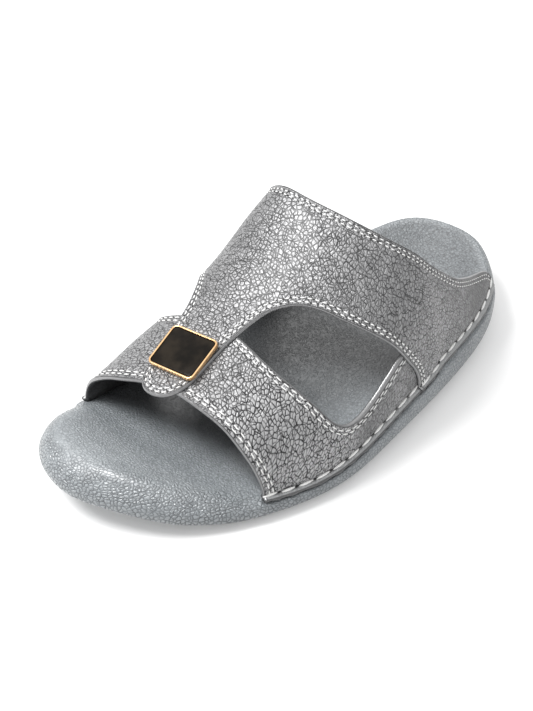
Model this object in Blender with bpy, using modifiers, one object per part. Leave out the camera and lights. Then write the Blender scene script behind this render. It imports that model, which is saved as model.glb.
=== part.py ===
"""Left-foot Arabic sandal: moulded sole, insole, one-piece strap upper and a framed badge."""

import math

import bmesh
import bpy
import numpy as np
from mathutils import Matrix, Vector
from mathutils.geometry import delaunay_2d_cdt

# Driving dimensions, in metres. The toe points to -Y, the outside of the foot to +X, and up is +Z.
SOLE_LENGTH = 0.277
BALL_WIDTH = 0.1184
STRAP_WALL = 0.0020
STRAP_BITE = 0.0006          # how far the instep strap is sunk into the front strap that it is joined to
INSOLE_THICKNESS = 0.0025
FIT_GAP = 0.0003             # clearance between pieces that meet
ARCH_RISE = 0.0040           # support under the inside of the foot
BED_LIP = 0.0010             # edge of the footbed below the rim

# Sole outline: share of the length from the heel, share of the ball width towards the outside.
OUTLINE = (
    ("heel back", 0.000, 0.006),
    ("heel back outside", 0.053, 0.221),
    ("heel outside", 0.157, 0.387),
    ("waist outside", 0.358, 0.494),
    ("middle outside", 0.518, 0.537),
    ("ball outside", 0.657, 0.534),
    ("toe outside", 0.837, 0.386),
    ("toe front outside", 0.944, 0.182),
    ("toe tip", 1.000, -0.098),
    ("toe front inside", 0.965, -0.336),
    ("toe inside", 0.852, -0.460),
    ("ball inside", 0.703, -0.459),
    ("waist inside", 0.468, -0.409),
    ("heel front inside", 0.288, -0.362),
    ("heel inside", 0.144, -0.350),
    ("heel back inside", 0.036, -0.250),
)

# Along the sole: share from the heel, heights of tread, middle of the footbed and rim, rise of the rim on the
# inside, width of the rounded rim as a factor, edge of the footbed from the outline.
LEVEL_COLUMNS = ("along", "tread", "footbed", "rim", "inside_rise", "rim_width", "bed_inset")
LEVELS = (
    (0.00, 0.0030, 0.0252, 0.0270, 0.0000, 0.60, 0.0115),
    (0.06, 0.0000, 0.0222, 0.0270, 0.0000, 0.60, 0.0120),
    (0.16, 0.0000, 0.0195, 0.0265, 0.0000, 0.65, 0.0130),
    (0.32, 0.0000, 0.0185, 0.0255, 0.0000, 0.75, 0.0140),
    (0.46, 0.0020, 0.0155, 0.0220, 0.0000, 0.85, 0.0145),
    (0.58, 0.0000, 0.0108, 0.0155, 0.0000, 0.90, 0.0150),
    (0.70, 0.0000, 0.0089, 0.0115, 0.0000, 1.00, 0.0160),
    (0.80, 0.0000, 0.0118, 0.0130, 0.0000, 1.05, 0.0160),
    (0.90, 0.0030, 0.0182, 0.0180, 0.0042, 1.10, 0.0170),
    (1.00, 0.0100, 0.0238, 0.0250, 0.0000, 1.15, 0.0250),
)

# Side of the sole, from the tread up and over to the footbed. Insets are from the outline, rises are shares
# of the height from tread to rim: first where the rim is a plain round, then where a strap is seated.
SIDE_PROFILE = (
    ("tread edge", 0.0100, 0.00, 0.0090, 0.00),
    ("tuck", 0.0050, 0.06, 0.0042, 0.07),
    ("lower side", 0.0014, 0.22, 0.0012, 0.25),
    ("widest", 0.0000, 0.43, 0.0000, 0.48),
    ("upper side", 0.0010, 0.63, 0.0003, 0.68),
    ("side top", 0.0028, 0.79, 0.0009, 0.80),
    ("seat outside", 0.0050, 0.89, 0.0018, 0.79),
    ("seat inside", 0.0080, 0.97, 0.0052, 0.97),
    ("crest", 0.0115, 1.00, 0.0078, 1.00),
    ("inner shoulder", 0.0150, 0.96, 0.0110, 0.95),
)
SEAT_ROWS = (6, 7)           # rows of SIDE_PROFILE that the straps' flange lies on
SEAT_ENDS = {"outside": (0.092, 0.796), "inside": (0.146, 0.834)}
SEAT_FADE = 0.010            # share of the length over which the seat runs out
STATIONS = 36
STATION_GAP = 0.0035         # least share of the length between two sections
FOOTBED_CELLS = 8
TREAD_CELLS = 2
SHARP_EDGE = 40              # degrees

# Last that the straps are shaped on: share from the heel, ridge across, ridge height, roundness of the section
# on both sides of the ridge.
LAST_COLUMNS = ("along", "ridge", "height", "outside", "inside")
LAST = (
    (0.04, -0.006, 0.0560, 1.10, 1.10),
    (0.16, -0.009, 0.0700, 1.25, 1.25),
    (0.28, -0.014, 0.0980, 1.70, 1.70),
    (0.40, -0.019, 0.1100, 2.05, 2.05),
    (0.48, -0.016, 0.0995, 2.15, 2.15),
    (0.56, -0.012, 0.0810, 2.20, 2.20),
    (0.64, -0.008, 0.0670, 2.30, 2.30),
    (0.72, -0.005, 0.0570, 2.40, 2.40),
    (0.80, -0.003, 0.0486, 2.40, 2.06),
    (0.90, -0.003, 0.0420, 2.40, 1.75),
)
HALF_GIRTH = 0.075           # ridge to seam at the ball: scale of the flat patterns across
FLANGE = 0.0036              # width of the turned-out edge that is stitched down

# Strap patterns: share of the half girth (+1 outside seam, -1 inside seam), share of length from the heel.
FLANGE_EDGE = 1.0 + FLANGE / HALF_GIRTH
FRONT_EDGE = ((-FLANGE_EDGE, 0.819), (-0.95, 0.820), (-0.85, 0.822), (-0.70, 0.827), (-0.54, 0.827),
              (-0.38, 0.824), (-0.24, 0.817), (0.00, 0.807), (0.24, 0.805), (0.43, 0.802), (0.61, 0.800),
              (0.78, 0.793), (0.95, 0.784), (FLANGE_EDGE, 0.782))
RAIL_OUTSIDE = ((0.00, 0.676), (0.10, 0.677), (0.28, 0.682), (0.42, 0.679), (0.61, 0.661), (0.74, 0.641),
                (0.80, 0.618), (0.816, 0.590), (0.80, 0.538), (0.77, 0.485), (0.76, 0.440), (0.76, 0.400))
RAIL_INSIDE = ((-0.20, 0.678), (-0.30, 0.684), (-0.45, 0.684), (-0.62, 0.670), (-0.74, 0.652), (-0.80, 0.630),
               (-0.816, 0.602), (-0.80, 0.545), (-0.77, 0.485), (-0.76, 0.440), (-0.76, 0.400))
INSTEP_FRONT_OUTSIDE = ((FLANGE_EDGE, 0.422), (0.93, 0.434), (0.80, 0.466), (0.69, 0.493), (0.56, 0.526),
                        (0.445, 0.551), (0.34, 0.569), (0.265, 0.584), (0.21, 0.600), (0.16, 0.620),
                        (0.13, 0.641), (0.105, 0.667), (0.085, 0.700), (0.075, 0.740), (0.070, 0.777))
TAB_END = ((0.070, 0.777), (0.050, 0.802), (-0.005, 0.822), (-0.09, 0.830), (-0.175, 0.827), (-0.24, 0.812),
           (-0.275, 0.785))
INSTEP_FRONT_INSIDE = ((-0.275, 0.785), (-0.28, 0.740), (-0.285, 0.700), (-0.30, 0.668), (-0.33, 0.641),
                       (-0.37, 0.618), (-0.44, 0.594), (-0.54, 0.568), (-0.645, 0.540), (-0.74, 0.509),
                       (-0.83, 0.475), (-0.94, 0.440), (-FLANGE_EDGE, 0.426))
INSTEP_REAR = ((-FLANGE_EDGE, 0.158), (-0.97, 0.161), (-0.91, 0.176), (-0.85, 0.208), (-0.785, 0.252),
               (-0.71, 0.297), (-0.63, 0.332), (-0.55, 0.363), (-0.42, 0.410), (-0.25, 0.446), (0.00, 0.466),
               (0.21, 0.454), (0.40, 0.417), (0.56, 0.345), (0.62, 0.309), (0.69, 0.264), (0.73, 0.215),
               (0.765, 0.172), (0.81, 0.138), (0.865, 0.117), (0.93, 0.107), (FLANGE_EDGE, 0.104))
PATTERN_CELL = 0.0060
EDGE_STEP = 0.0035
SEAM_STEP = 0.0045

# Badge: a metal tray with an enamelled plate in it, on the tab of the instep strap.
BADGE_WIDTH = 0.0255
BADGE_LENGTH = 0.0226
BADGE_CORNER = 0.0028
BADGE_HEIGHT = 0.0022
BADGE_RIM = 0.0010
BADGE_POCKET = 0.0014
BADGE_PLACE = (-0.092, 0.747)    # middle of the badge on the pattern
BADGE_TURN = 5.0                 # degrees, its outer side towards the heel

COLOURS = {
    "sole": ((0.23, 0.25, 0.26), 0.55, 0.0),
    "insole": ((0.24, 0.26, 0.27), 0.60, 0.0),
    "upper": ((0.33, 0.33, 0.34), 0.42, 0.0),
    "badge_frame": ((0.80, 0.55, 0.32), 0.25, 1.0),
    "badge_plate": ((0.015, 0.013, 0.012), 0.15, 0.0),
}


def follow(columns, rows, name, along):
    """Value of one column of a table at a share of the length, on a curve that never overshoots its rows."""
    table = np.array(rows, float)
    x, y = table[:, 0], table[:, columns.index(name)]
    slope = np.diff(y) / np.diff(x)
    tangent = np.zeros(len(x))
    for k in range(1, len(x) - 1):
        if slope[k - 1] * slope[k] > 0:
            tangent[k] = 2.0 / (1.0 / slope[k - 1] + 1.0 / slope[k])
    along = np.clip(along, x[0], x[-1])
    k = np.clip(np.searchsorted(x, along, side="right") - 1, 0, len(x) - 2)
    width = x[k + 1] - x[k]
    u = (along - x[k]) / width
    return ((1 + 2 * u) * (1 - u) ** 2 * y[k] + u * (1 - u) ** 2 * width * tangent[k]
            + u * u * (3 - 2 * u) * y[k + 1] + u * u * (u - 1) * width * tangent[k + 1])


def level(name, along):
    return follow(LEVEL_COLUMNS, LEVELS, name, along)


def smooth_step(value):
    value = np.clip(value, 0.0, 1.0)
    return value * value * (3.0 - 2.0 * value)


def curve_through(points, closed, step):
    """Points at about equal steps along a smooth curve through the given points."""
    points = np.array(points, float)
    if closed:
        before, after = points[-1], points[0]
        ring = np.vstack([before, points, after, points[1]])
    else:
        ring = np.vstack([2 * points[0] - points[1], points, 2 * points[-1] - points[-2]])
    out = []
    for p0, p1, p2, p3 in zip(ring, ring[1:], ring[2:], ring[3:]):
        d01, d12, d23 = (max(np.linalg.norm(b - a), 1e-9) ** 0.5 for a, b in ((p0, p1), (p1, p2), (p2, p3)))
        m1 = (p2 - p1) / d12 - (p2 - p0) / (d01 + d12) + (p1 - p0) / d01
        m2 = (p3 - p2) / d23 - (p3 - p1) / (d12 + d23) + (p2 - p1) / d12
        count = max(1, round(np.linalg.norm(p2 - p1) / step))
        for u in np.arange(count) / count:
            out.append((2 * u**3 - 3 * u**2 + 1) * p1 + (u**3 - 2 * u**2 + u) * m1 * d12
                       + (3 * u**2 - 2 * u**3) * p2 + (u**3 - u**2) * m2 * d12)
    if not closed:
        out.append(points[-1])
    return np.array(out)


class Sole:
    """Plan outline of the sole, as sampled points with their outward normals, on both sides."""

    def __init__(self):
        rows = [(across * BALL_WIDTH, SOLE_LENGTH * (0.5 - along)) for _, along, across in OUTLINE]
        plan = curve_through(rows, True, 0.0004)
        plan -= (plan.max(0) + plan.min(0)) / 2
        plan[:, 1] *= SOLE_LENGTH / np.ptp(plan[:, 1])
        tangent = np.roll(plan, -3, 0) - np.roll(plan, 3, 0)
        normal = np.column_stack([-tangent[:, 1], tangent[:, 0]])
        normal /= np.linalg.norm(normal, axis=1)[:, None]
        if (normal * plan).sum() < 0:
            normal = -normal
        heel, toe = plan[:, 1].argmax(), plan[:, 1].argmin()
        self.sides = {}
        for side, start, end in (("outside", heel, toe), ("inside", toe, heel)):
            index = np.arange(start, end + 1 if end > start else end + 1 + len(plan)) % len(plan)
            if side == "inside":
                index = index[::-1]
            along = 0.5 - plan[index, 1] / SOLE_LENGTH
            self.sides[side] = np.column_stack([along, plan[index], normal[index]])

    def edge(self, side, along, inset):
        """Points a given distance inside the outline, at shares of the length."""
        table = self.sides[side]
        x, y, nx, ny = (np.interp(along, table[:, 0], table[:, k]) for k in (1, 2, 3, 4))
        size = np.hypot(nx, ny)
        return np.stack([x - nx / size * inset, y - ny / size * inset], -1)


SOLE = Sole()


def seat_weight(side, along):
    """1 where a strap is seated on the rim, 0 where the rim is a plain round."""
    rear, front = SEAT_ENDS[side]
    return smooth_step((along - rear) / SEAT_FADE + 0.5) * smooth_step((front - along) / SEAT_FADE + 0.5)


def side_point(side, along, row):
    """Point on the side of the sole, on one row of its profile."""
    _, round_inset, round_rise, seat_inset, seat_rise = SIDE_PROFILE[row]
    weight = seat_weight(side, along)
    inset = round_inset * level("rim_width", along) * (1 - weight) + seat_inset * weight
    rise = round_rise * (1 - weight) + seat_rise * weight
    tread, rim = level("tread", along), level("rim", along)
    if side == "inside":
        rim = rim + level("inside_rise", along)
    plan = SOLE.edge(side, along, inset)
    return np.concatenate([plan, np.stack([tread + rise * (rim - tread)], -1)], -1)


def footbed_height(along, across):
    """Top of the insole: a dished bed with a raised inside arch. Across is -1 inside to +1 outside."""
    arch = np.exp(-((along - 0.42) / 0.13) ** 2) * smooth_step(-1.6 * across) * ARCH_RISE
    middle = level("footbed", along)
    rim = level("rim", along) + level("inside_rise", along) * (across < 0)
    return middle + (rim - BED_LIP - middle) * np.abs(across) ** 3 + arch * (1 - across**2)


def stations():
    """Shares of the length for the sections, closer at the round ends and where the seat runs out."""
    shares = list((1 - np.cos(np.pi * np.arange(STATIONS + 1) / STATIONS)) / 2)
    for rear, front in SEAT_ENDS.values():
        shares += [end + side * SEAT_FADE / 2 for end in (rear, front) for side in (-1, 1)]
    shares = sorted(shares)
    kept = [shares[0]]
    for share in shares[1:]:
        if share - kept[-1] > STATION_GAP or share == shares[-1]:
            kept.append(share)
    return np.array(kept)


def ring_of(make):
    """Closed ring from a function of side and stations: heel, outside, toe, inside."""
    along = stations()
    outside, inside = make("outside", along), make("inside", along)
    return np.vstack([outside, inside[-2:0:-1]])


def loft(bm, rings):
    """Bridges rings of equal length and returns their vertices."""
    loops = [[bm.verts.new(point) for point in ring] for ring in rings]
    for low, high in zip(loops, loops[1:]):
        for a, b, c, d in zip(low, low[1:] + low[:1], high[1:] + high[:1], high):
            bm.faces.new((a, b, c, d))
    return loops


def cap_across(bm, loop, height, cells):
    """Closes a ring with rows of faces from its inside to its outside, at a height of its own."""
    along = stations()
    last = len(along) - 1
    rows = [[loop[0]]]
    for k in range(1, last):
        outside, inside = loop[k], loop[-k]
        row = [inside]
        for across in np.linspace(-1, 1, cells + 1)[1:-1]:
            place = inside.co.lerp(outside.co, (across + 1) / 2)
            place.z = height(along[k], across)
            row.append(bm.verts.new(place))
        rows.append(row + [outside])
    rows.append([loop[last]])
    for heel, toe in zip(rows, rows[1:]):
        if len(heel) == len(toe):
            for a, b, c, d in zip(heel, heel[1:], toe[1:], toe):
                bm.faces.new((a, b, c, d))
        else:
            tip, row = (heel[0], toe) if len(heel) == 1 else (toe[0], heel)
            for a, b in zip(row, row[1:]):
                bm.faces.new((a, b, tip))


def make_material(name):
    """Plain material in the piece's own colour."""
    colour, roughness, metallic = COLOURS[name]
    material = bpy.data.materials.new(name)
    material.use_nodes = True
    shader = material.node_tree.nodes["Principled BSDF"]
    shader.inputs["Base Color"].default_value = (*colour, 1.0)
    shader.inputs["Roughness"].default_value = roughness
    shader.inputs["Metallic"].default_value = metallic
    return material


def add_object(name, bm, collection, finish):
    """Makes a smooth-shaded object from a bmesh, in one of the finishes of COLOURS."""
    mesh = bpy.data.meshes.new(name)
    bm.to_mesh(mesh)
    bm.free()
    mesh.shade_smooth()
    mesh.set_sharp_from_angle(angle=math.radians(SHARP_EDGE))
    mesh.materials.append(make_material(finish))
    part = bpy.data.objects.new(name, mesh)
    collection.objects.link(part)
    return part


def add_solid(name, bm, collection):
    """Makes an object from a closed bmesh, with its faces turned out."""
    bmesh.ops.recalc_face_normals(bm, faces=bm.faces)
    return add_object(name, bm, collection, name)


def footbed_edge(side, along, extra, drop):
    """Edge of the insole, moved inwards by extra and down by drop."""
    plan = SOLE.edge(side, along, level("bed_inset", along) + extra)
    height = footbed_height(along, np.full_like(along, 1.0 if side == "outside" else -1.0)) - drop
    return np.concatenate([plan, height[:, None]], -1)


def make_sole(collection):
    """Moulded sole: rounded side with a seat for the straps, and a recess for the insole."""
    bm = bmesh.new()
    rings = [ring_of(lambda side, along, row=row: side_point(side, along, row))
             for row in range(len(SIDE_PROFILE))]
    recess = INSOLE_THICKNESS + FIT_GAP
    rings.append(ring_of(lambda side, along: footbed_edge(side, along, 0.0, 0.0)))
    rings.append(ring_of(lambda side, along: footbed_edge(side, along, 0.0, recess)))
    loops = loft(bm, rings)
    cap_across(bm, loops[0], lambda along, across: float(level("tread", along)), TREAD_CELLS)
    cap_across(bm, loops[-1], lambda along, across: float(footbed_height(along, across)) - recess,
               FOOTBED_CELLS)
    return add_solid("sole", bm, collection)


def make_insole(collection):
    """Insole that lies in the recess of the sole."""
    bm = bmesh.new()
    bottom, top = (ring_of(lambda side, along, drop=drop: footbed_edge(side, along, FIT_GAP, drop))
                   for drop in (INSOLE_THICKNESS, 0.0))
    loops = loft(bm, [bottom, top])
    cap_across(bm, loops[0], lambda along, across: float(footbed_height(along, across)) - INSOLE_THICKNESS,
               FOOTBED_CELLS)
    cap_across(bm, loops[1], lambda along, across: float(footbed_height(along, across)), FOOTBED_CELLS)
    return add_solid("insole", bm, collection)


def last_point(girth, along):
    """Point on the last. Girth is 0 on the ridge, 1 at a seam, and past 1 on the flange."""
    side = "outside" if girth >= 0 else "inside"
    along_row = np.array([along])
    outer, inner = (side_point(side, along_row, row)[0] for row in SEAT_ROWS)
    outer[2] += FIT_GAP
    inner[2] += FIT_GAP
    if abs(girth) > 1:
        out = (outer - inner) / np.linalg.norm(outer - inner)
        return inner + out * (abs(girth) - 1) * HALF_GIRTH
    ridge_x = float(follow(LAST_COLUMNS, LAST, "ridge", along))
    ridge_y = SOLE_LENGTH * (0.5 - along)
    ridge_z = float(follow(LAST_COLUMNS, LAST, "height", along))
    power = 2.0 / float(follow(LAST_COLUMNS, LAST, side, along))
    turn = np.linspace(0, np.pi / 2, 41)
    across, up = np.sin(turn) ** power, np.cos(turn) ** power
    line = np.column_stack([ridge_x + (inner[0] - ridge_x) * across,
                            ridge_y + (inner[1] - ridge_y) * across**2,
                            inner[2] + (ridge_z - inner[2]) * up])
    run = np.concatenate([[0], np.cumsum(np.linalg.norm(np.diff(line, axis=0), axis=1))])
    return np.array([np.interp(abs(girth) * run[-1], run, line[:, k]) for k in range(3)])


def lasted(girth, along, lift):
    """Point at a height above the last, measured square to it."""
    step = 0.004
    here = last_point(girth, along)
    across = last_point(girth + step, along) - last_point(girth - step, along)
    forward = last_point(girth, along + step) - last_point(girth, along - step)
    normal = np.cross(forward, across)
    return here + normal / np.linalg.norm(normal) * lift


def flat_pattern(edges):
    """Flat outline of a strap, from its edges in order round it, in metres on the pattern plane."""
    outline = []
    for edge in edges:
        plane = [(girth * HALF_GIRTH, SOLE_LENGTH * (0.5 - along)) for girth, along in edge]
        outline.extend(curve_through(plane, False, EDGE_STEP)[:-1])
    return outline


def strap(name, edges, lift, collection):
    """Cuts a strap from flat leather, with points inside it and along its seams to bend on, and lasts it."""
    outline = np.array(flat_pattern(edges))
    count = len(outline)
    spots = [outline]
    folds = []
    for seam in (-HALF_GIRTH, HALF_GIRTH):
        line = np.array([(seam, k * SEAM_STEP) for k in range(-40, 41)])
        line = line[np.linalg.norm(line[:, None] - outline[None], axis=2).min(1) > SEAM_STEP / 2]
        first = sum(len(group) for group in spots)
        folds += [(first + k, first + k + 1) for k in range(len(line) - 1)
                  if line[k + 1, 1] - line[k, 1] < 1.5 * SEAM_STEP]
        spots.append(line)
    grid = np.array([((i + 0.5 * (j % 2)) * PATTERN_CELL, j * 0.866 * PATTERN_CELL)
                     for i in range(-14, 15) for j in range(-24, 25)])
    taken = np.vstack(spots)
    spots.append(grid[np.linalg.norm(grid[:, None] - taken[None], axis=2).min(1) > 0.5 * PATTERN_CELL])
    places, _, faces, *_ = delaunay_2d_cdt([Vector(spot) for spot in np.vstack(spots)], folds,
                                           [list(range(count))], 1, 1e-7)
    bm = bmesh.new()
    verts = {}
    for face in faces:
        for k in face:
            if k not in verts:
                along = 0.5 - places[k].y / SOLE_LENGTH
                verts[k] = bm.verts.new(lasted(places[k].x / HALF_GIRTH, along, lift(along)))
        bm.faces.new([verts[k] for k in face])
    part = add_object(name, bm, collection, "upper")
    wall = part.modifiers.new("wall", "SOLIDIFY")
    wall.thickness = STRAP_WALL
    wall.offset = 1.0
    wall.use_even_offset = True
    return part


def instep_lift(along):
    """The instep strap lies on the front strap and its rails, and comes down to the last behind them."""
    rail_end = min(RAIL_OUTSIDE[-1][1], RAIL_INSIDE[-1][1])
    return (STRAP_WALL - STRAP_BITE) * float(smooth_step((along - rail_end) / 0.05 + 1.2))


def make_upper(collection, cutters):
    """Front strap with its side rails, and instep strap with its tab, joined where they cross."""
    rail_ends = [((rail[-1][0], rail[-1][1]), (side * FLANGE_EDGE, rail[-1][1]))
                 for rail, side in ((RAIL_OUTSIDE, 1), (RAIL_INSIDE, -1))]
    front = strap("front_strap", (
        FRONT_EDGE,
        ((FLANGE_EDGE, FRONT_EDGE[-1][1]), rail_ends[0][1]),
        rail_ends[0][::-1],
        RAIL_OUTSIDE[::-1],
        (RAIL_OUTSIDE[0], RAIL_INSIDE[0]),
        RAIL_INSIDE,
        rail_ends[1],
        (rail_ends[1][1], FRONT_EDGE[0]),
    ), lambda along: 0.0, cutters)
    front.hide_render = True
    front.display_type = "WIRE"
    upper = strap("upper", (
        INSTEP_FRONT_OUTSIDE,
        TAB_END,
        INSTEP_FRONT_INSIDE,
        (INSTEP_FRONT_INSIDE[-1], INSTEP_REAR[0]),
        INSTEP_REAR,
        (INSTEP_REAR[-1], INSTEP_FRONT_OUTSIDE[0]),
    ), instep_lift, collection)
    join = upper.modifiers.new("join", "BOOLEAN")
    join.operation = "UNION"
    join.object = front
    return upper


def badge_frame_axes():
    """Middle and axes of the badge, clear of the leather under it: across, towards the heel, and outwards."""
    girth, along = BADGE_PLACE
    outer = instep_lift(along) + STRAP_WALL
    reach = 0.5 * BADGE_WIDTH / HALF_GIRTH
    depth = 0.5 * BADGE_LENGTH / SOLE_LENGTH
    across = lasted(girth + reach, along, outer) - lasted(girth - reach, along, outer)
    back = lasted(girth, along - depth, outer) - lasted(girth, along + depth, outer)
    across /= np.linalg.norm(across)
    up = np.cross(across, back)
    up /= np.linalg.norm(up)
    turn = math.radians(BADGE_TURN)
    across = across * math.cos(turn) + np.cross(up, across) * math.sin(turn)
    back = np.cross(up, across)
    middle = lasted(girth, along, outer)
    shares = np.linspace(-1, 1, 7)
    spots = [lasted(girth + i * reach, along + j * depth, outer) for i in shares for j in shares]
    clear = max((spot - middle) @ up for spot in spots)
    return middle + up * (clear + FIT_GAP), across, back, up


def rounded_slab(bm, width, length, corner, bottom, top):
    """Slab with rounded corners. Returns its upper face."""
    size = Matrix.Diagonal((width, length, top - bottom, 1.0))
    bmesh.ops.create_cube(bm, size=1.0, matrix=Matrix.Translation((0, 0, (top + bottom) / 2)) @ size)
    upright = [edge for edge in bm.edges if abs(edge.verts[0].co.z - edge.verts[1].co.z) > (top - bottom) / 2]
    bmesh.ops.bevel(bm, geom=upright, offset=corner, segments=6, profile=0.5, affect="EDGES")
    return max(bm.faces, key=lambda face: face.calc_center_median().z)


def make_badge(collection):
    """Badge: tray with a rim, and a plate that lies in it."""
    middle, across, back, up = badge_frame_axes()
    place = Matrix.Translation(Vector(middle)) @ Matrix(np.column_stack([across, back, up]).tolist()).to_4x4()
    tray = bmesh.new()
    face = rounded_slab(tray, BADGE_WIDTH, BADGE_LENGTH, BADGE_CORNER, 0.0, BADGE_HEIGHT)
    bmesh.ops.inset_region(tray, faces=[face], thickness=BADGE_RIM)
    floor = bmesh.ops.extrude_face_region(tray, geom=[face])["geom"]
    bmesh.ops.delete(tray, geom=[face], context="FACES_ONLY")
    for vert in floor:
        if isinstance(vert, bmesh.types.BMVert):
            vert.co.z -= BADGE_POCKET
    tray.transform(place)
    add_solid("badge_frame", tray, collection)
    plate = bmesh.new()
    margin = 2 * (BADGE_RIM + FIT_GAP)
    rounded_slab(plate, BADGE_WIDTH - margin, BADGE_LENGTH - margin, BADGE_CORNER - BADGE_RIM - FIT_GAP,
                 BADGE_HEIGHT - BADGE_POCKET + FIT_GAP, BADGE_HEIGHT - FIT_GAP)
    plate.transform(place)
    add_solid("badge_plate", plate, collection)


def main():
    for old in list(bpy.data.objects):
        bpy.data.objects.remove(old)
    parts = bpy.data.collections.new("arabic_sandal")
    cutters = bpy.data.collections.new("cutters")
    for collection in (parts, cutters):
        bpy.context.scene.collection.children.link(collection)
    make_sole(parts)
    make_insole(parts)
    make_upper(parts, cutters)
    make_badge(parts)


main()
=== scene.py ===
import math
import random

import bmesh
import bpy
import numpy as np
from mathutils import Matrix, Quaternion, Vector
from mathutils.bvhtree import BVHTree
from mathutils.geometry import delaunay_2d_cdt
from mathutils.kdtree import KDTree


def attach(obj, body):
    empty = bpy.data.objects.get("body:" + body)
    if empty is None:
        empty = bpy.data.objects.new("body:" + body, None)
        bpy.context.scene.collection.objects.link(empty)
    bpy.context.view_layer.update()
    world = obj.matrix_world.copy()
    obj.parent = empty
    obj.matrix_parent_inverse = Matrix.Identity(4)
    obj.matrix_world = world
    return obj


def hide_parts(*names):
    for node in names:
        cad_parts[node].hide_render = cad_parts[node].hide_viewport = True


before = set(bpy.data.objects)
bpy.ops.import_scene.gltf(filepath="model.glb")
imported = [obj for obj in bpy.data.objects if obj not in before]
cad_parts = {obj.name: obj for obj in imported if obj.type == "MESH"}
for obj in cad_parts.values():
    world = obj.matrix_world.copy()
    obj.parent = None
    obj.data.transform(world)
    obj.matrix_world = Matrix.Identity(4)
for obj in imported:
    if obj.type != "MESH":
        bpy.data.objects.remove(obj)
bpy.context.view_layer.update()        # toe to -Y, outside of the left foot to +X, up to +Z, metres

random.seed(7)
print("frame loaded:", ", ".join(sorted(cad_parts)))


# Camera, floor and light
studio = {
    "aim": (0.0016, -0.0286, 0.040),
    "distance": 0.808,
    "azimuth": 40.07,            # degrees from the toe towards the outside of the foot
    "elevation": 39.54,
    "roll": 3.53,
    "lens": 89.3,                # for a 36 mm sensor on the long side of a 533 x 711 picture
    "nearest": 0.05,             # clip distance
    "floorSize": 6.0,
    "floorDrop": 0.0003,
    "floorColour": (0.72, 0.72, 0.72, 1.0),
    "floorRoughness": 0.7,
    "floorGlow": 0.20,           # keeps the shadow light
    "sky": (0.28, 1.25),         # brightness low down and overhead
    "skyRise": (0.05, 0.85),     # heights between which it changes
    # name, where it stands, width, power in watts
    "lamps": (
        ("keyLamp", (-0.70, -0.90, 1.66), 0.90, 44.0),
        ("backLamp", (-0.50, 0.48, 1.86), 0.60, 80.0),
    ),
    "glossLamp": ("backLamp", ("soleSkin", "footbed")),      # gives only a gloss, and only on these pieces
}


def aimedTurn(direction):
    return Vector(direction).to_track_quat("-Z", "Y")


def buildStudio():
    azimuth, elevation = math.radians(studio["azimuth"]), math.radians(studio["elevation"])
    back = Vector((math.sin(azimuth) * math.cos(elevation),
                   -math.cos(azimuth) * math.cos(elevation), math.sin(elevation)))
    aim = Vector(studio["aim"])
    camera = bpy.data.objects.new("camera", bpy.data.cameras.new("camera"))
    camera.data.lens = studio["lens"]
    camera.data.clip_start = studio["nearest"]
    camera.location = aim + back * studio["distance"]
    camera.rotation_mode = "QUATERNION"
    camera.rotation_quaternion = aimedTurn(-back) @ Quaternion((0, 0, 1), math.radians(studio["roll"]))
    bpy.context.scene.collection.objects.link(camera)
    bpy.context.scene.camera = camera
    for name, place, width, power in studio["lamps"]:
        lamp = bpy.data.objects.new(name, bpy.data.lights.new(name, "AREA"))
        lamp.data.shape = "DISK"
        lamp.data.size = width
        lamp.data.energy = power
        lamp.location = place
        lamp.rotation_mode = "QUATERNION"
        lamp.rotation_quaternion = aimedTurn(aim - Vector(place))
        bpy.context.scene.collection.objects.link(lamp)
    sky = bpy.data.worlds.new("sky")
    sky.use_nodes = True
    paint = Wire(sky.node_tree)
    rise = paint.node("SeparateXYZ", values={"Vector": paint.node("TexCoord", out="Generated")}, out="Z")
    low, high = ((tone, tone, tone, 1.0) for tone in studio["sky"])
    glow = rise.between(*studio["skyRise"]).blend(low, high)
    sky.node_tree.links.new(glow.socket, sky.node_tree.nodes["Background"].inputs["Color"])
    bpy.context.scene.world = sky
    bpy.context.scene.view_settings.view_transform = "Standard"
    bm = bmesh.new()
    bmesh.ops.create_grid(bm, x_segments=2, y_segments=2, size=studio["floorSize"] / 2,
                          matrix=Matrix.Translation((0, 0, -studio["floorDrop"])))
    floor = meshObject("floor", bm)
    material, shader, _ = newMaterial("floorPaint")
    shader.inputs["Base Color"].default_value = studio["floorColour"]
    shader.inputs["Roughness"].default_value = studio["floorRoughness"]
    shader.inputs["Emission Color"].default_value = (1.0, 1.0, 1.0, 1.0)
    shader.inputs["Emission Strength"].default_value = studio["floorGlow"]
    floor.data.materials.append(material)


def limitGlossLamp():
    name, pieces = studio["glossLamp"]
    lamp = bpy.data.objects[name]
    lit = bpy.data.collections.new(name + "Pieces")
    for piece in pieces:
        lit.objects.link(bpy.data.objects[piece])
    lamp.visible_diffuse = False
    lamp.light_linking.receiver_collection = lit


# Small helpers
def meshObject(name, bm):
    mesh = bpy.data.meshes.new(name)
    bm.to_mesh(mesh)
    bm.free()
    mesh.shade_smooth()
    made = bpy.data.objects.new(name, mesh)
    bpy.context.scene.collection.objects.link(made)
    return made


def applied(piece):        # bakes a piece's modifiers into its mesh
    bpy.context.view_layer.update()
    done = bpy.data.meshes.new_from_object(piece.evaluated_get(bpy.context.evaluated_depsgraph_get()))
    piece.modifiers.clear()
    piece.data = done
    return piece


sameSpot = 1e-5        # metres
millimetres = 1000     # in a metre


def softStep(low, high, value):
    share = np.clip((value - low) / (high - low), 0.0, 1.0)
    return share * share * (3.0 - 2.0 * share)


def bump(value, middle, width):        # 1 at the middle, fading to both sides
    return np.exp(-((value - middle) / width) ** 2)


def edgeTree(places):
    tree = KDTree(len(places))
    for number, place in enumerate(places):
        tree.insert(place, number)
    tree.balance()
    return tree


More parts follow.
